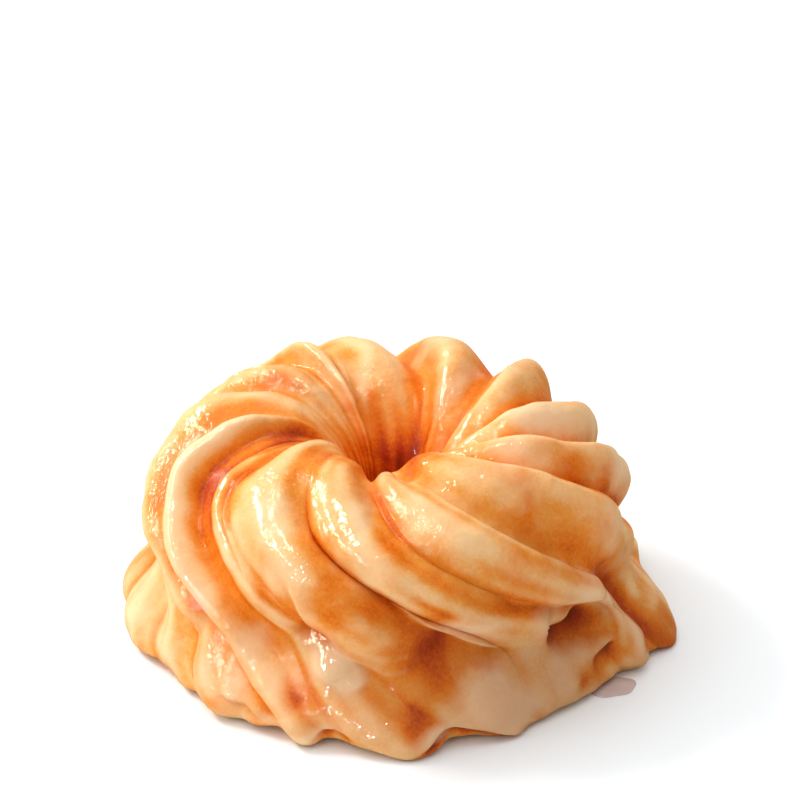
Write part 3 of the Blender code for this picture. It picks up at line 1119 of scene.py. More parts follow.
@dataclass
class Cruller:
    """The doughnut: the ring's fine surface with the dough's unevenness and the glaze on it."""

    ring: Ring = field(default_factory=Ring)
    finish: GlazedDough = field(default_factory=GlazedDough)
    columns: tuple[int, ...] = (46, 46, 46, 44, 36, 28, 24, 24, 24, 26, 26, 30, 34, 42)
    film: Film = Film()
    swell: Ripples = Ripples(wavelength=13.0, seed=3)
    swell_height: float = 0.35
    dimple: Ripples = Ripples(wavelength=4.5, seed=8)
    dimple_height: float = 0.10
    shrink: float = 0.2
    streak_seed: int = 5
    streak_waves: int = 8
    streak_sway: float = 0.8
    # Patches: the first ones are painted shade that darkens the lower front, the inside of the hole and
    # other places in shade. The toasted ones are partly the dough's own browning and partly painted shade
    # in hollows, inside the hole and on the side away from the light. The milky ones are partly milky glaze
    # and partly painted light on shaded sides and painted highlight where the glaze shines.
    patches: tuple[Patch, ...] = (
        Patch(Tint.PAINTED_SHADE, Lump(300, 1.40, 45, 1.50, 0.42)),
        Patch(Tint.PAINTED_SHADE, Lump(268, 2.85, 7, 0.40, 0.12)),
        Patch(Tint.PAINTED_SHADE, Lump(288, 3.10, 14, 0.45, 0.12)),
        Patch(Tint.PAINTED_SHADE, Lump(311, 4.10, 11, 0.90, 0.18)),
        Patch(Tint.PAINTED_SHADE, Lump(224, 1.50, 8, 0.50, 0.15)),
        Patch(Tint.PAINTED_SHADE, Lump(45, 6.00, 10, 0.80, 0.15)),
        Patch(Tint.PAINTED_SHADE, Lump(148, 5.00, 12, 0.60, 0.10)),
        Patch(Tint.PAINTED_SHADE, Lump(190, 5.45, 50, 0.50, 0.20)),
        Patch(Tint.PAINTED_SHADE, Lump(350, 0.90, 12, 0.60, 0.30)),
        Patch(Tint.PAINTED_SHADE, Lump(50, 4.80, 60, 1.50, 0.08)),
        Patch(Tint.PAINTED_SHADE, Lump(320, 1.20, 25, 1.00, 0.08)),
        Patch(Tint.PAINTED_SHADE, Lump(8, 3.80, 14, 0.80, 0.12)),
        Patch(Tint.PAINTED_SHADE, Lump(36, 4.30, 6, 0.60, 0.10)),
        Patch(Tint.TOAST_AND_SHADE, Lump(279, 2.25, 7, 0.35, 0.60)),
        Patch(Tint.TOAST_AND_SHADE, Lump(281, 1.75, 4, 0.25, 0.30)),
        Patch(Tint.TOAST_AND_SHADE, Lump(275, 1.20, 3, 0.25, 0.30)),
        Patch(Tint.TOAST_AND_SHADE, Lump(248, 2.40, 3, 0.14, 0.45)),
        Patch(Tint.TOAST_AND_SHADE, Lump(313, 2.12, 3, 0.18, 0.35)),
        Patch(Tint.TOAST_AND_SHADE, Lump(321, 1.93, 9, 0.27, 0.75, 2.0)),
        Patch(Tint.TOAST_AND_SHADE, Lump(327.5, 1.10, 5, 0.27, 0.50, 2.0)),
        Patch(Tint.TOAST_AND_SHADE, Lump(318, 1.00, 2, 0.25, 0.45)),
        Patch(Tint.TOAST_AND_SHADE, Lump(276, 1.15, 4, 0.30, 0.25)),
        Patch(Tint.TOAST_AND_SHADE, Lump(353, 1.00, 5, 0.40, 0.30)),
        Patch(Tint.TOAST_AND_SHADE, Lump(229, 1.05, 4, 0.30, 0.30)),
        Patch(Tint.TOAST_AND_SHADE, Lump(289, 0.47, 4, 0.20, 0.30)),
        Patch(Tint.TOAST_AND_SHADE, Lump(293, 5.70, 7, 0.40, 0.25)),
        Patch(Tint.TOAST_AND_SHADE, Lump(214, 4.30, 6, 0.90, 0.25)),
        Patch(Tint.TOAST_AND_SHADE, Lump(280, 2.92, 4, 0.12, 0.30)),
        Patch(Tint.TOAST_AND_SHADE, Lump(335, 2.60, 40, 1.80, 0.12)),
        Patch(Tint.TOAST_AND_SHADE, Lump(75, 6.90, 20, 0.50, 0.30)),
        Patch(Tint.TOAST_AND_SHADE, Lump(314, 5.70, 8, 0.35, 0.22)),
        Patch(Tint.TOAST_AND_SHADE, Lump(283, 5.85, 7, 0.35, 0.55)),
        Patch(Tint.TOAST_AND_SHADE, Lump(100, 5.66, 4, 0.40, 0.20)),
        Patch(Tint.TOAST_AND_SHADE, Lump(354, 5.25, 6, 0.30, 0.15)),
        Patch(Tint.TOAST_AND_SHADE, Lump(250, 1.52, 4, 0.30, 0.20)),
        Patch(Tint.TOAST_AND_SHADE, Lump(265, 2.85, 8, 0.30, 0.18)),
        Patch(Tint.TOAST_AND_SHADE, Lump(235, 5.45, 9, 0.30, 0.15)),
        Patch(Tint.TOAST_AND_SHADE, Lump(272, 2.30, 9, 0.50, 0.15)),
        Patch(Tint.TOAST_AND_SHADE, Lump(204, 5.60, 10, 0.40, 0.20)),
        Patch(Tint.TOAST_AND_SHADE, Lump(235, 4.70, 5, 0.30, 0.15)),
        Patch(Tint.TOAST_AND_SHADE, Lump(258, 1.30, 10, 0.50, 0.12)),
        Patch(Tint.TOAST_AND_SHADE, Lump(45, 6.13, 3, 0.40, 0.25)),
        Patch(Tint.TOAST_AND_SHADE, Lump(340, 4.39, 5, 0.50, 0.22)),
        Patch(Tint.TOAST_AND_SHADE, Lump(315, 4.43, 5, 0.50, 0.15)),
        Patch(Tint.TOAST_AND_SHADE, Lump(148, 5.01, 7, 0.50, 0.15)),
        Patch(Tint.TOAST_AND_SHADE, Lump(257, 3.16, 4, 0.40, 0.18)),
        Patch(Tint.TOAST_AND_SHADE, Lump(270, 4.13, 4, 0.60, 0.18)),
        Patch(Tint.TOAST_AND_SHADE, Lump(300, 3.48, 6, 0.30, 0.18)),
        Patch(Tint.TOAST_AND_SHADE, Lump(205, 5.55, 10, 0.40, 0.20)),
        Patch(Tint.TOAST_AND_SHADE, Lump(207, 4.29, 3, 0.30, 0.15)),
        Patch(Tint.MILK_AND_LIGHT, Lump(256, 2.08, 5, 0.26, 1.20, 2.0)),
        Patch(Tint.MILK_AND_LIGHT, Lump(262, 1.82, 2.5, 0.12, 0.90)),
        Patch(Tint.MILK_AND_LIGHT, Lump(258, 1.10, 10, 0.40, 0.30)),
        Patch(Tint.MILK_AND_LIGHT, Lump(254, 0.60, 4, 0.25, 0.40)),
        Patch(Tint.MILK_AND_LIGHT, Lump(278, 0.92, 4, 0.20, 0.50)),
        Patch(Tint.MILK_AND_LIGHT, Lump(298, 1.04, 4, 0.35, 0.80)),
        Patch(Tint.MILK_AND_LIGHT, Lump(192, 1.20, 12, 0.70, 0.60)),
        Patch(Tint.MILK_AND_LIGHT, Lump(226, 1.75, 6, 0.35, 0.30)),
        Patch(Tint.MILK_AND_LIGHT, Lump(243, 3.30, 6, 0.30, 0.45)),
        Patch(Tint.MILK_AND_LIGHT, Lump(232, 1.40, 3, 0.25, 0.30)),
        Patch(Tint.MILK_AND_LIGHT, Lump(126, 6.00, 5, 0.60, 0.40)),
        Patch(Tint.MILK_AND_LIGHT, Lump(290, 1.50, 4, 0.30, 0.70)),
        Patch(Tint.MILK_AND_LIGHT, Lump(289, 1.10, 9, 0.35, 0.35)),
        Patch(Tint.MILK_AND_LIGHT, Lump(312, 1.30, 3.5, 0.50, 0.60, 2.0)),
        Patch(Tint.MILK_AND_LIGHT, Lump(306, 2.58, 4, 0.25, 0.45)),
        Patch(Tint.MILK_AND_LIGHT, Lump(2, 3.30, 8, 0.60, 0.45)),
        Patch(Tint.MILK_AND_LIGHT, Lump(352, 4.90, 12, 0.50, 0.30)),
        Patch(Tint.MILK_AND_LIGHT, Lump(78, 5.00, 7, 0.60, 0.50)),
        Patch(Tint.MILK_AND_LIGHT, Lump(45, 5.30, 5, 0.60, 0.50)),
        Patch(Tint.MILK_AND_LIGHT, Lump(57, 6.45, 5, 0.40, 0.40)),
        Patch(Tint.MILK_AND_LIGHT, Lump(323, 5.00, 8, 0.30, 0.50)),
        Patch(Tint.MILK_AND_LIGHT, Lump(309, 4.30, 5, 0.40, 0.30)),
        Patch(Tint.MILK_AND_LIGHT, Lump(340, 2.30, 5, 0.30, 0.50)),
        Patch(Tint.MILK_AND_LIGHT, Lump(288, 2.68, 6, 0.20, 1.00)),
        Patch(Tint.MILK_AND_LIGHT, Lump(292, 1.62, 4, 0.25, 0.40)),
        Patch(Tint.MILK_AND_LIGHT, Lump(302, 0.90, 4, 0.30, 0.50)),
        Patch(Tint.MILK_AND_LIGHT, Lump(258, 1.92, 4, 0.25, 0.50)),
        Patch(Tint.MILK_AND_LIGHT, Lump(236, 2.25, 4, 0.40, 0.50)),
        Patch(Tint.MILK_AND_LIGHT, Lump(244, 1.65, 4, 0.30, 0.40)),
        Patch(Tint.MILK_AND_LIGHT, Lump(243, 0.60, 5, 0.25, 0.50)),
        Patch(Tint.MILK_AND_LIGHT, Lump(280, 0.90, 4, 0.25, 0.40)),
        Patch(Tint.MILK_AND_LIGHT, Lump(173, 0.95, 5, 0.60, 0.60)),
        Patch(Tint.MILK_AND_LIGHT, Lump(207, 2.45, 4, 0.30, 0.40)),
        Patch(Tint.MILK_AND_LIGHT, Lump(72, 4.60, 10, 0.60, 0.15)),
        Patch(Tint.MILK_AND_LIGHT, Lump(84, 5.60, 5, 0.50, 0.20)),
        Patch(Tint.MILK_AND_LIGHT, Lump(250, 1.60, 3, 0.30, 0.40)),
        Patch(Tint.MILK_AND_LIGHT, Lump(192, 4.50, 6, 0.40, 0.35)),
        Patch(Tint.MILK_AND_LIGHT, Lump(263, 4.70, 4, 0.50, 0.30)),
        Patch(Tint.MILK_AND_LIGHT, Lump(276, 4.50, 4, 0.50, 0.25)),
        Patch(Tint.MILK_AND_LIGHT, Lump(286, 4.20, 5, 0.40, 0.20)),
        Patch(Tint.MILK_AND_LIGHT, Lump(302, 1.25, 4, 0.30, 0.40)),
        Patch(Tint.MILK_AND_LIGHT, Lump(3, 3.60, 5, 0.60, 0.30)),
        Patch(Tint.MILK_AND_LIGHT, Lump(330, 5.00, 8, 0.30, 0.25)),
        Patch(Tint.MILK_AND_LIGHT, Lump(296, 1.70, 3, 0.25, 0.50)),
        Patch(Tint.MILK_AND_LIGHT, Lump(303, 1.90, 3, 0.25, 0.30)),
        Patch(Tint.MILK_AND_LIGHT, Lump(111, 6.02, 4, 0.50, 0.35)),
        Patch(Tint.MILK_AND_LIGHT, Lump(355, 4.89, 6, 0.40, 0.25)),
        Patch(Tint.MILK_AND_LIGHT, Lump(332, 2.33, 4, 0.25, 0.40)),
        Patch(Tint.MILK_AND_LIGHT, Lump(44, 6.00, 5, 0.50, 0.40)),
        Patch(Tint.MILK_AND_LIGHT, Lump(225, 3.60, 4, 0.40, 0.30)),
        Patch(Tint.MILK_AND_LIGHT, Lump(294, 1.50, 4, 0.30, 0.50)),
        Patch(Tint.MILK_AND_LIGHT, Lump(281, 0.75, 4, 0.20, 0.50)),
        Patch(Tint.MILK_AND_LIGHT, Lump(260, 1.90, 3, 0.20, 0.60)),
        Patch(Tint.MILK_AND_LIGHT, Lump(251, 0.55, 8, 0.20, 0.50)),
        Patch(Tint.MILK_AND_LIGHT, Lump(234, 1.35, 4, 0.35, 0.50)),
        Patch(Tint.MILK_AND_LIGHT, Lump(207, 1.20, 6, 0.40, 0.40)),
        Patch(Tint.MILK_AND_LIGHT, Lump(344, 1.90, 3, 0.30, 0.30)),
        Patch(Tint.MILK_AND_LIGHT, Lump(356, 3.60, 6, 0.40, 0.50)),
        Patch(Tint.MILK_AND_LIGHT, Lump(333, 3.25, 6, 0.40, 0.40)),
        Patch(Tint.MILK_AND_LIGHT, Lump(319, 2.79, 6, 0.25, 0.40)),
        Patch(Tint.MILK_AND_LIGHT, Lump(332, 2.38, 4, 0.25, 0.60)),
        Patch(Tint.MILK_AND_LIGHT, Lump(339, 1.40, 3, 0.50, 0.55)),
        Patch(Tint.MILK_AND_LIGHT, Lump(322, 2.75, 5, 0.20, 0.40)),
    )
    drops: tuple[Lump, ...] = (
        Lump(256, 2.08, 4.6, 0.24, 2.0, 2.0),
        Lump(262, 1.82, 2.4, 0.10, 1.0, 1.5),
        Lump(290, 1.60, 4, 0.20, 0.8),
        Lump(284, 1.72, 2, 0.10, 0.6),
        Lump(320, 1.95, 7.5, 0.25, -1.8, 2.0),
        Lump(312.5, 2.12, 2.5, 0.16, -1.0),
        Lump(327.5, 1.12, 4.5, 0.24, -1.2, 2.0),
        Lump(318, 1.00, 2, 0.25, -0.6),
        Lump(248, 2.38, 3, 0.14, -1.2),
        Lump(304, 2.50, 4, 0.30, 0.7),
        Lump(220, 1.40, 2.0, 0.12, 0.6),
        Lump(214, 1.75, 1.6, 0.10, 0.6),
    )
    dull_spots: tuple[Lump, ...] = (
        Lump(246, 1.25, 13, 0.60, 0.80),
        Lump(207, 4.35, 6, 0.50, 0.60),
        Lump(148, 5.00, 8, 0.50, 0.40),
    )
    # Folds: the higher side of each turns milky as painted light and the lower side toasted as painted
    # shade; a positive wash paints light along a fold and a negative one paints shade.
    folds: tuple[Fold, ...] = (
        Fold(
            (
                (262, 3.48), (270.2, 3.2), (277.5, 2.75), (286, 2.38), (291.5, 2.22), (296.5, 2.1),
                (301, 2.05),
            ),
            0.9, -1.3, reach=4.0, soft=0.8, milk_and_light=0.25, toast_and_shade=0.3,
        ),
        Fold(
            ((245, 3.4), (248, 3.05), (250.5, 2.6), (254, 2.4), (259, 2.25), (262, 2.15)),
            0.7, -0.9, milk_and_light=0.3, toast_and_shade=0.2,
        ),
        Fold(
            ((238, 3.15), (240.5, 2.95), (244, 2.8), (247.5, 2.6), (251, 2.42)),
            0.4, -0.5, milk_and_light=0.15, toast_and_shade=0.15,
        ),
        Fold(
            ((213, 4.9), (215, 4.6), (216.5, 4.28), (220, 3.84), (227.5, 3.49), (232.5, 3.16), (236, 2.94)),
            0.6, -0.4, reach=1.5, soft=0.6, milk_and_light=0.2, toast_and_shade=0.1,
        ),
        Fold(
            (
                (294, 3.35), (299, 3), (302, 2.92), (309, 2.75), (313, 2.6), (318, 2.55), (326, 2.42),
                (332, 2.4),
            ),
            0.8, -0.8, milk_and_light=0.3, toast_and_shade=0.2,
        ),
        Fold(
            ((331, 2.45), (336, 1.95), (338.5, 1.7), (340.5, 1.45), (341.5, 1.2), (340.5, 0.9), (338, 0.7)),
            -1.2, 0.9, soft=0.8, milk_and_light=0.3, toast_and_shade=0.15,
        ),
        Fold(
            (
                (310, 2.8), (309, 2.5), (309, 2.25), (311, 1.95), (315, 1.72), (320, 1.6), (327, 1.52),
                (334, 1.5),
            ),
            -1.0, 0.6, reach=2.0, soft=0.6, milk_and_light=0.3, toast_and_shade=0.25,
        ),
        Fold(
            ((316, 1.66), (321, 1.5), (326, 1.44), (331, 1.4), (335, 1.38)),
            0.5, 0.3, reach=1.0, milk_and_light=0.3,
        ),
        Fold(
            ((335.5, 1.65), (336, 1.35), (334, 1.05), (331, 0.8)),
            0.6, -0.5, reach=1.5, milk_and_light=0.3, toast_and_shade=0.1,
        ),
        Fold(
            ((272, 0.5), (277, 0.72), (280.5, 0.88), (285, 0.85), (290, 0.75), (296, 0.55), (300, 0.45)),
            0.5, -0.9, reach=1.6, soft=0.6, milk_and_light=0.2, toast_and_shade=0.75,
        ),
        Fold(
            ((252, 0.5), (257, 0.66), (260, 0.7), (263, 0.5)),
            0.5, -0.9, reach=1.4, soft=0.6, milk_and_light=0.2, toast_and_shade=0.7, taper=3.0,
        ),
        Fold(
            ((230, 1.3), (233, 1.12), (237, 0.95), (240, 0.75), (243, 0.5)),
            0.8, -0.8, reach=1.5, soft=0.6, milk_and_light=0.4, toast_and_shade=0.1, taper=3.0,
        ),
        Fold(
            ((223, 2.05), (222.5, 1.75), (225, 1.45), (228, 1.2), (229.5, 1)),
            0.5, 0.3, reach=1.0, milk_and_light=0.4,
        ),
        Fold(((227, 2.1), (228.5, 1.75), (230.5, 1.4), (233, 1.1)), 0.5, 0.3, reach=1.0, milk_and_light=0.4),
        Fold(
            ((259, 2.2), (264, 2.12), (268, 2.02), (271, 2.03), (276, 2.17)),
            0.4, 0.5, reach=0.9, milk_and_light=0.4, taper=3.0,
        ),
        Fold(
            ((258, 2.38), (263, 2.3), (268, 2.22), (272, 2.2), (277, 2.25)),
            0.4, 0.3, reach=0.9, milk_and_light=0.3, taper=3.0,
        ),
        Fold(
            ((287, 2.02), (289, 1.93), (291.5, 1.9), (294.5, 1.96)),
            0.4, 0.6, reach=0.9, milk_and_light=0.3, taper=2.0,
        ),
        Fold(((309, 3.6), (314, 3.4), (318, 3.2), (322, 3), (328, 2.65)), 0.4, 0.5, reach=0.9, milk_and_light=0.35),
        Fold(
            ((242, 4.75), (244, 4.56), (250, 4.19), (253, 3.88), (258, 3.6)),
            0.4, 0.3, reach=0.8, milk_and_light=0.2,
        ),
        Fold(
            ((264, 5.1), (266, 4.95), (271, 4.48), (275, 4.14), (280, 3.9)),
            0.4, 0.3, reach=0.8, milk_and_light=0.2,
        ),
        Fold(((92, 4.9), (86, 5.37), (78, 5.8), (69, 6.14), (62, 6.5)), 0.4, 0.3, reach=0.8, milk_and_light=0.2),
        Fold(((48, 5), (39, 5.43), (31, 5.93), (24, 6.3)), 0.4, 0.3, reach=0.8, milk_and_light=0.2),
        Fold(((113, 4.9), (115, 5.2), (116, 5.6), (119, 6), (122, 6.3)), 0.3, 0.5, reach=1.0, milk_and_light=0.3),
        Fold(((273, 3.42), (278, 3.2), (282, 3.05), (287, 2.92)), -0.15, -0.2, reach=1.6, toast_and_shade=0.35),
        Fold(
            ((190, 5.2), (196, 4.5), (200, 3.9), (206, 3.62), (217, 3.07), (227, 2.41)),
            reach=2.0, wash=0.65,
        ),
        Fold(((192, 5.9), (201, 5.7), (209, 5.3), (212, 4.8)), reach=3.0, wash=-0.35),
        Fold(((108, 6.4), (110, 6), (104, 5.6), (97, 5)), wash=0.3),
        Fold(((192, 3.5), (195, 3.1), (201, 2.8), (206, 2.4)), reach=1.5, wash=0.3),
        Fold(
            ((221, 3.1), (226, 2.75), (233, 2.4), (238, 2.1), (242, 1.82), (247, 1.5)),
            reach=2.0, wash=0.25,
        ),
        Fold(((225, 4.1), (229, 3.65), (233, 3.3), (236, 2.9)), wash=0.35),
        Fold(((258, 4.8), (261, 4.4), (263, 4), (265, 3.6), (269, 3.3)), wash=0.35),
        Fold(((297, 2.9), (304, 2.72), (314, 2.4), (324, 2.1)), reach=1.5, wash=0.35),
        Fold(((345, 5.4), (353, 5.18), (359, 4.76), (371, 4.06), (380, 3.5)), reach=3.5, wash=0.6),
        Fold(((310, 4.9), (324, 4.72), (331, 4.58), (341, 4.08), (350, 3.6)), reach=2.4, wash=0.5),
        Fold(((282, 5), (290, 4.73), (296, 4.4), (303, 4), (318, 3.3), (325, 2.9)), wash=0.4),
        Fold(
            ((253, 3.9), (260, 3.48), (268, 3.21), (277, 2.78), (287, 2.32), (297, 2.1)),
            reach=2.2, wash=0.35,
        ),
        Fold(((234, 4.5), (238, 4.2), (242, 3.95), (245, 3.7)), reach=3.5, wash=0.6),
        Fold(((249, 3.45), (254, 3.2), (259, 2.92), (263, 2.7)), wash=-0.35),
        Fold(
            ((274, 3.5), (280, 3.36), (286, 3.18), (295, 2.95), (306, 2.66), (312, 2.5)),
            reach=3.0, wash=-0.3,
        ),
        Fold(
            ((266, 2.15), (270, 1.95), (274, 1.65), (281, 1.6), (288, 1.8), (294, 2)),
            reach=4.0, wash=-0.2,
        ),
        Fold(((353, 2.1), (350, 1.74), (345, 1.42), (341, 1.1)), 0.3, 0.3, reach=1.2, wash=0.4),
        Fold(
            ((362, 1.7), (358, 1.52), (352, 1.42), (347, 1.32), (344, 1.1)),
            0.5, 0.4, reach=1.0, wash=0.3,
        ),
        Fold(((228, 5), (233, 5.15), (240, 5.45), (251, 5.5), (260, 5.4)), reach=4.0, wash=-0.5),
    )

    def places(self) -> Array:
        """Places round the section, with each station's own number of steps.

        Returns:
            The places, in stations.
        """
        rows = [number + np.arange(s.steps) / s.steps for number, s in enumerate(self.ring.stations)]
        return np.concatenate(rows)

    def arounds(self) -> Array:
        """Places around the ring, closer together over the ridges with the finest folds.

        Returns:
            The places, in ridges.
        """
        columns = [number + np.arange(count) / count for number, count in enumerate(self.columns)]
        return np.concatenate(columns)

    def total(self, lumps: tuple[Lump, ...], angle: Array, place: Array) -> Array:
        """Sum of some lumps.

        Args:
            lumps: The lumps.
            angle: Angles round the ring, in degrees.
            place: Places round the section, in stations.

        Returns:
            The sum at each place.
        """
        total = np.zeros(angle.shape)
        for lump in lumps:
            total += lump.rise(angle, place, len(self.ring.stations))
        return total

    def tint(self, kind: Tint, angle: Array, place: Array) -> Array:
        """Sum of the patches of one tint.

        Args:
            kind: Which tint.
            angle: Angles round the ring, in degrees.
            place: Places round the section, in stations.

        Returns:
            The sum at each place.
        """
        areas = tuple(patch.area for patch in self.patches if patch.tint is kind)
        return self.total(areas, angle, place)

    def looks(self, relief: Relief, around: Array, place: Array) -> dict[str, Array]:
        """What the material reads from the mesh, before the folds.

        Args:
            relief: The ring's surface.
            around: Places around the ring, in ridges.
            place: Places round the section, in stations.

        Returns:
            Grids of the milky share with painted light, the toasted share with painted shade, the shiny
            share and the painted shade share, by name.
        """
        high = self.film.valley_most
        valley = (1.0 - relief.arch) * np.clip(relief.depth / self.film.valley_depth, 0.0, high)
        streaks = self.streaks(around, place)
        # These patch sums carry painted shade in the toasted ones and painted light in the milky ones.
        toasted = self.tint(Tint.TOAST_AND_SHADE, relief.angle, place)
        milky = self.tint(Tint.MILK_AND_LIGHT, relief.angle, place)
        dull = self.total(self.dull_spots, relief.angle, place)
        return {
            "milk_and_light": self.film.milk_and_light(valley, place, streaks) + milky - toasted,
            "toast_and_shade": self.film.toast_and_shade(valley, place, streaks) + toasted,
            "gloss": self.film.gloss(valley, place, dull),
            "painted_shade": self.tint(Tint.PAINTED_SHADE, relief.angle, place),
        }

    def outward(self, relief: Relief) -> Array:
        """Directions from the ring's core to its surface.

        Args:
            relief: The ring's surface.

        Returns:
            A direction of length 1 at each place.
        """
        turn = np.radians(relief.angle)
        core = np.stack([np.cos(turn), np.sin(turn), np.zeros(turn.shape)], axis=-1) * self.ring.core_radius
        core[..., 2] = self.ring.core_height
        away = relief.points - core
        return away / np.linalg.norm(away, axis=-1, keepdims=True)

    def mesh(self) -> bpy.types.Object:
        """Build the doughnut.

        The surface is the ring's, raised by ripples, drops and the two sides of each fold, and held
        inside the solid's bounds. The higher side of a fold turns milky, partly as painted light, its lower
        side toasted, partly as painted shade, and a wash changes both: painted light where it is positive
        and painted shade where it is negative.

        Returns:
            The doughnut's object, with the glaze's, the dough's and the painted shade's attributes on its
            mesh.
        """
        around, place = np.meshgrid(self.arounds(), self.places(), indexing="ij")
        relief = self.ring.relief(around, place)
        looks = self.looks(relief, around, place)
        points = relief.points - self.ring.middle() * (1.0, 1.0, 0.0)
        offset = self.swell_height * self.swell.at(points) + self.dimple_height * self.dimple.at(points)
        offset += self.total(self.drops, relief.angle, place) - self.shrink
        spread = self.ring.spread()
        for fold in self.folds:
            left, right = fold.sides(spread, relief.angle, place)
            higher, lower = (left, right) if fold.left > fold.right else (right, left)
            wash = fold.wash * (left + right)
            offset += fold.left * left + fold.right * right
            # Painted shade on each fold's lower side and painted light on its higher side, with positive
            # washes painting light and negative ones shade along it.
            looks["toast_and_shade"] += fold.toast_and_shade * lower - self.film.toast_wash * wash
            looks["milk_and_light"] += fold.milk_and_light * higher - fold.toast_and_shade * lower + wash
        points = points + self.outward(relief) * offset[..., None]
        low, high = (np.array(corner) / MM for corner in SOLID_BOUNDS)
        return grid_mesh("cruller_dough", np.clip(points, low, high), True, looks)

    def streaks(self, around: Array, place: Array) -> Array:
        """Flow lines of the glaze and strokes of the piping, long along the ridges and narrow across them.

        Args:
            around: Places around the ring, in ridges.
            place: Places round the section, in stations.

        Returns:
            A sum of sines across the ridges that sway slowly along them, about -1 to 1.
        """
        dice = np.random.default_rng(self.streak_seed)
        total = np.zeros(around.shape)
        for _ in range(self.streak_waves):
            across = dice.integers(1, 5)
            sways = 3 * dice.integers(1, 3)
            phase = dice.uniform(0.0, 2.0 * math.pi, 2)
            along = place * sways * 2.0 * math.pi / len(self.ring.stations)
            wander = self.streak_sway * np.sin(along + phase[1])
            total += np.sin(around * across * 2.0 * math.pi + phase[0] + wander)
        return total * 0.5 / math.sqrt(self.streak_waves)

    def dress(self, thing: bpy.types.Object) -> None:
        """Give the doughnut its finish and its place in the frame.

        Args:
            thing: The doughnut's object.
        """
        thing.data.materials.append(self.finish.material())
        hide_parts("cruller")
        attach(thing, "root")


@dataclass
class GlazePool:
    """A small pool of glaze that ran off the foot onto the table."""

    finish: PooledGlaze = field(default_factory=PooledGlaze)
    centre: tuple[float, float] = (35.2, -22.6)
    half_length: float = 3.9
    half_width: float = 3.2
    thickness: float = 0.4
    slant: float = 10.0
    turns: int = 72
    rings: int = 14
    edge: float = 0.2
    edge_foot: float = 0.02
    edge_top: float = 0.32
    innermost: float = 0.99
    waves: tuple[tuple[float, float, float], ...] = ((2.0, 0.08, 0.6), (5.0, 0.05, 0.0))

    def mesh(self) -> bpy.types.Object:
        """Build the pool: a flat dome over a wavy ellipse, with a flat bottom just over the table.

        The first share of the rings climbs the edge, and the others follow a quarter wave to the middle.
        Each wave of the outline is a sine with its number of turns, height and phase.

        Returns:
            The pool's object.
        """
        turns = np.arange(self.turns) * (2.0 * math.pi / self.turns)
        turn, ring = np.meshgrid(turns, np.linspace(0.0, 1.0, self.rings), indexing="ij")
        wobble = 1.0 + sum(height * np.sin(count * turn + phase) for count, height, phase in self.waves)
        inward = (ring - self.edge) / (1.0 - self.edge) * np.pi / 2
        climb = self.edge_foot + (self.edge_top - self.edge_foot) * ring / self.edge
        dome = self.edge_top + (1.0 - self.edge_top) * np.sin(inward)
        rise = np.where(ring < self.edge, climb, dome)
        reach = np.where(ring < self.edge, 1.0, np.cos(inward * self.innermost)) * wobble
        slant = math.radians(self.slant)
        along = self.half_length * reach * np.cos(turn)
        aside = self.half_width * reach * np.sin(turn)
        x = self.centre[0] + along * math.cos(slant) - aside * math.sin(slant)
        y = self.centre[1] + along * math.sin(slant) + aside * math.cos(slant)
        points = np.stack([x, y, self.thickness * rise], axis=-1)
        return grid_mesh("glaze_pool", points, False, {})

    def dress(self, thing: bpy.types.Object) -> None:
        """Give the pool its finish and its place in the frame.

        Args:
            thing: The pool's object.
        """
        thing.data.materials.append(self.finish.material())
        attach(thing, "root")


@dataclass(frozen=True)
class Lamp:
    """A soft box, aimed at the doughnut from a direction. One that doesn't light only shows as gloss."""

    name: str
    direction: tuple[float, float, float]
    power: float
    width: float
    length: float
    lights: bool
    colour: tuple[float, float, float]
    distance: float = 0.75
    target_height: float = 0.02

    def hang(self) -> None:
        """Hang the soft box at its distance from the doughnut."""
        light = bpy.data.lights.new(self.name, "AREA")
        light.shape = "RECTANGLE"
        light.size = self.width
        light.size_y = self.length
        light.energy = self.power
        light.color = self.colour
        box = bpy.data.objects.new(self.name, light)
        direction = Vector(self.direction).normalized()
        box.location = direction * self.distance + Vector((0.0, 0.0, self.target_height))
        box.rotation_mode = "QUATERNION"
        box.rotation_quaternion = direction.to_track_quat("Z", "Y")
        box.visible_diffuse = self.lights
        bpy.context.scene.collection.objects.link(box)


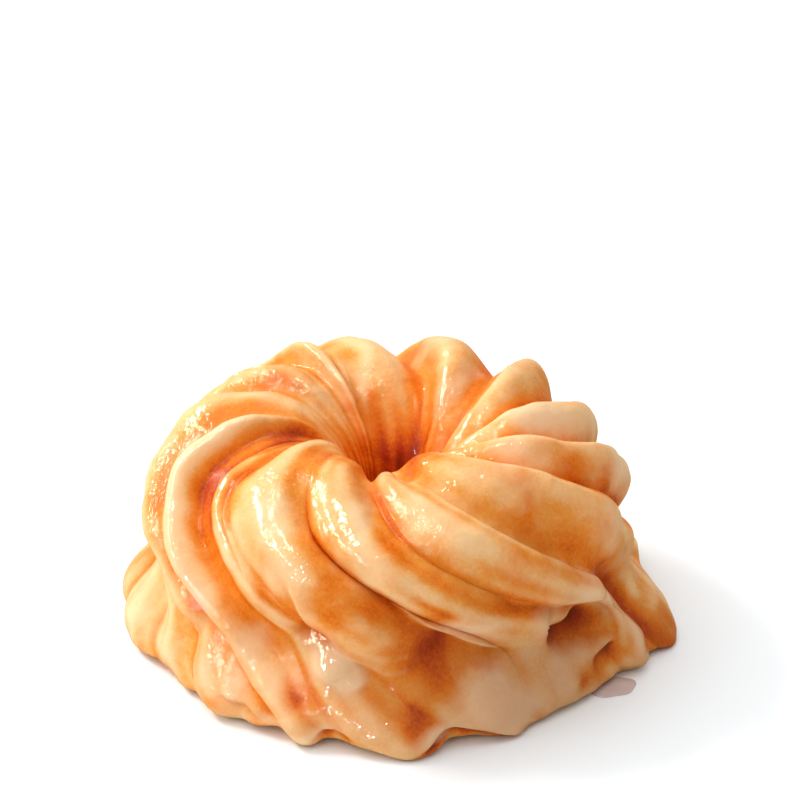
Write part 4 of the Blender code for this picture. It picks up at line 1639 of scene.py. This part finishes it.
@dataclass
class Studio:
    """White table, soft light from the upper left and the camera."""

    table_half: float = 6.0
    dim: float = 0.05
    bright: float = 1.52
    sky_direction: tuple[float, float, float] = (-0.42, 0.19, 0.885)
    sky_edge: float = -0.3
    reflected: float = 0.08
    behind: float = 0.8
    behind_edge: float = 0.55
    reflected_tint: Colour = srgb(255, 226, 180)
    lamps: tuple[Lamp, ...] = (
        Lamp("key", (-0.655, 0.30, 0.695), 2.7, 0.24, 0.12, True, (1.0, 0.95, 0.94)),
        Lamp("strip", (-0.7067, 0.0247, 0.707), 17.0, 1.10, 0.06, False, (1.0, 0.92, 0.74)),
        Lamp("top", (-0.15, -0.12, 0.98), 5.0, 0.16, 0.20, False, (1.0, 0.92, 0.74)),
        Lamp("glint", (-0.47, -0.76, 0.45), 3.5, 0.08, 0.08, False, (1.0, 0.97, 0.90)),
    )
    elevation: float = 28.0
    distance: float = 0.55
    lens: float = 147.8
    sensor: float = 36.0
    clips: tuple[float, float] = (0.01, 50.0)
    sight_height: float = 0.020
    sidestep: float = -0.0016
    aim: tuple[float, float, float] = (0.0006, 0.0007, 0.041)

    def table(self) -> None:
        """Lay the table top, which isn't part of the object."""
        half = self.table_half
        corners = [(-half, -half, 0.0), (half, -half, 0.0), (half, half, 0.0), (-half, half, 0.0)]
        mesh = bpy.data.meshes.new("table_top")
        mesh.from_pydata(corners, [], [(0, 1, 2, 3)])
        mesh.materials.append(WhiteTable().material())
        top = bpy.data.objects.new("table_top", mesh)
        top.visible_glossy = False
        bpy.context.scene.collection.objects.link(top)

    def light(self) -> None:
        """Hang the lamps and set the white surroundings."""
        for lamp in self.lamps:
            lamp.hang()
        bpy.context.scene.world = self.surroundings()

    def surroundings(self) -> bpy.types.World:
        """Make the room: bright towards the key light, dim on the other side and white to the eye.

        What the gloss mirrors of it is warmer and dimmer, with a glow from behind.

        Returns:
            The finished world.
        """
        world = bpy.data.worlds.new("studio room")
        nodes = Nodes(world)
        way = nodes.add("ShaderNodeTexCoord").outputs["Generated"]
        path = nodes.add("ShaderNodeLightPath").outputs
        mirrored = path["Is Glossy Ray"]
        towards = nodes.facing(way, Vector(self.sky_direction).normalized())
        sky = nodes.scaled(towards, self.sky_edge, self.dim, self.bright)
        glow = nodes.scaled(nodes.facing(way, (0.0, 1.0, 0.0)), self.behind_edge, 0.0, self.behind)
        room = nodes.maths("MULTIPLY", sky, nodes.scaled(mirrored, 0.0, 1.0, self.reflected, "LINEAR"))
        room = nodes.maths("ADD", nodes.maths("MULTIPLY", glow, mirrored), room)
        seen = nodes.add("ShaderNodeMix", {"Factor": path["Is Camera Ray"], "A": room, "B": 1.0})
        warm = nodes.mix(mirrored, (1.0, 1.0, 1.0, 1.0), self.reflected_tint)
        nodes.finish(nodes.add("ShaderNodeBackground", {"Color": warm, "Strength": seen.outputs["Result"]}))
        return world

    def camera(self) -> None:
        """Set the camera at the front, looking down on the doughnut."""
        lens = bpy.data.cameras.new("camera")
        lens.sensor_width = self.sensor
        lens.lens = self.lens
        lens.clip_start, lens.clip_end = self.clips
        eye = bpy.data.objects.new("camera", lens)
        tilt = math.radians(self.elevation)
        shift = Vector((self.aim[0] + self.sidestep, self.aim[1], 0.0))
        back = Vector((0.0, -math.cos(tilt), math.sin(tilt)))
        eye.location = shift + Vector((0.0, 0.0, self.sight_height)) + back * self.distance
        eye.rotation_mode = "QUATERNION"
        eye.rotation_quaternion = (eye.location - Vector(self.aim)).to_track_quat("Z", "Y")
        bpy.context.scene.collection.objects.link(eye)
        bpy.context.scene.camera = eye

    def tone(self) -> None:
        """Plain display colours."""
        scene = bpy.context.scene
        scene.view_settings.view_transform = "Standard"
        scene.view_settings.look = "None"
        scene.view_settings.exposure = 0.0


def main() -> None:
    """Build the doughnut, its pool of glaze and the studio."""
    logging.basicConfig(level=logging.INFO)
    for maker in (Cruller(), GlazePool()):
        thing = maker.mesh()
        maker.dress(thing)
        LOG.info("%s: %d faces", thing.name, len(thing.data.polygons))
    studio = Studio()
    studio.table()
    studio.light()
    studio.camera()
    studio.tone()


if __name__ == "__main__":
    main()
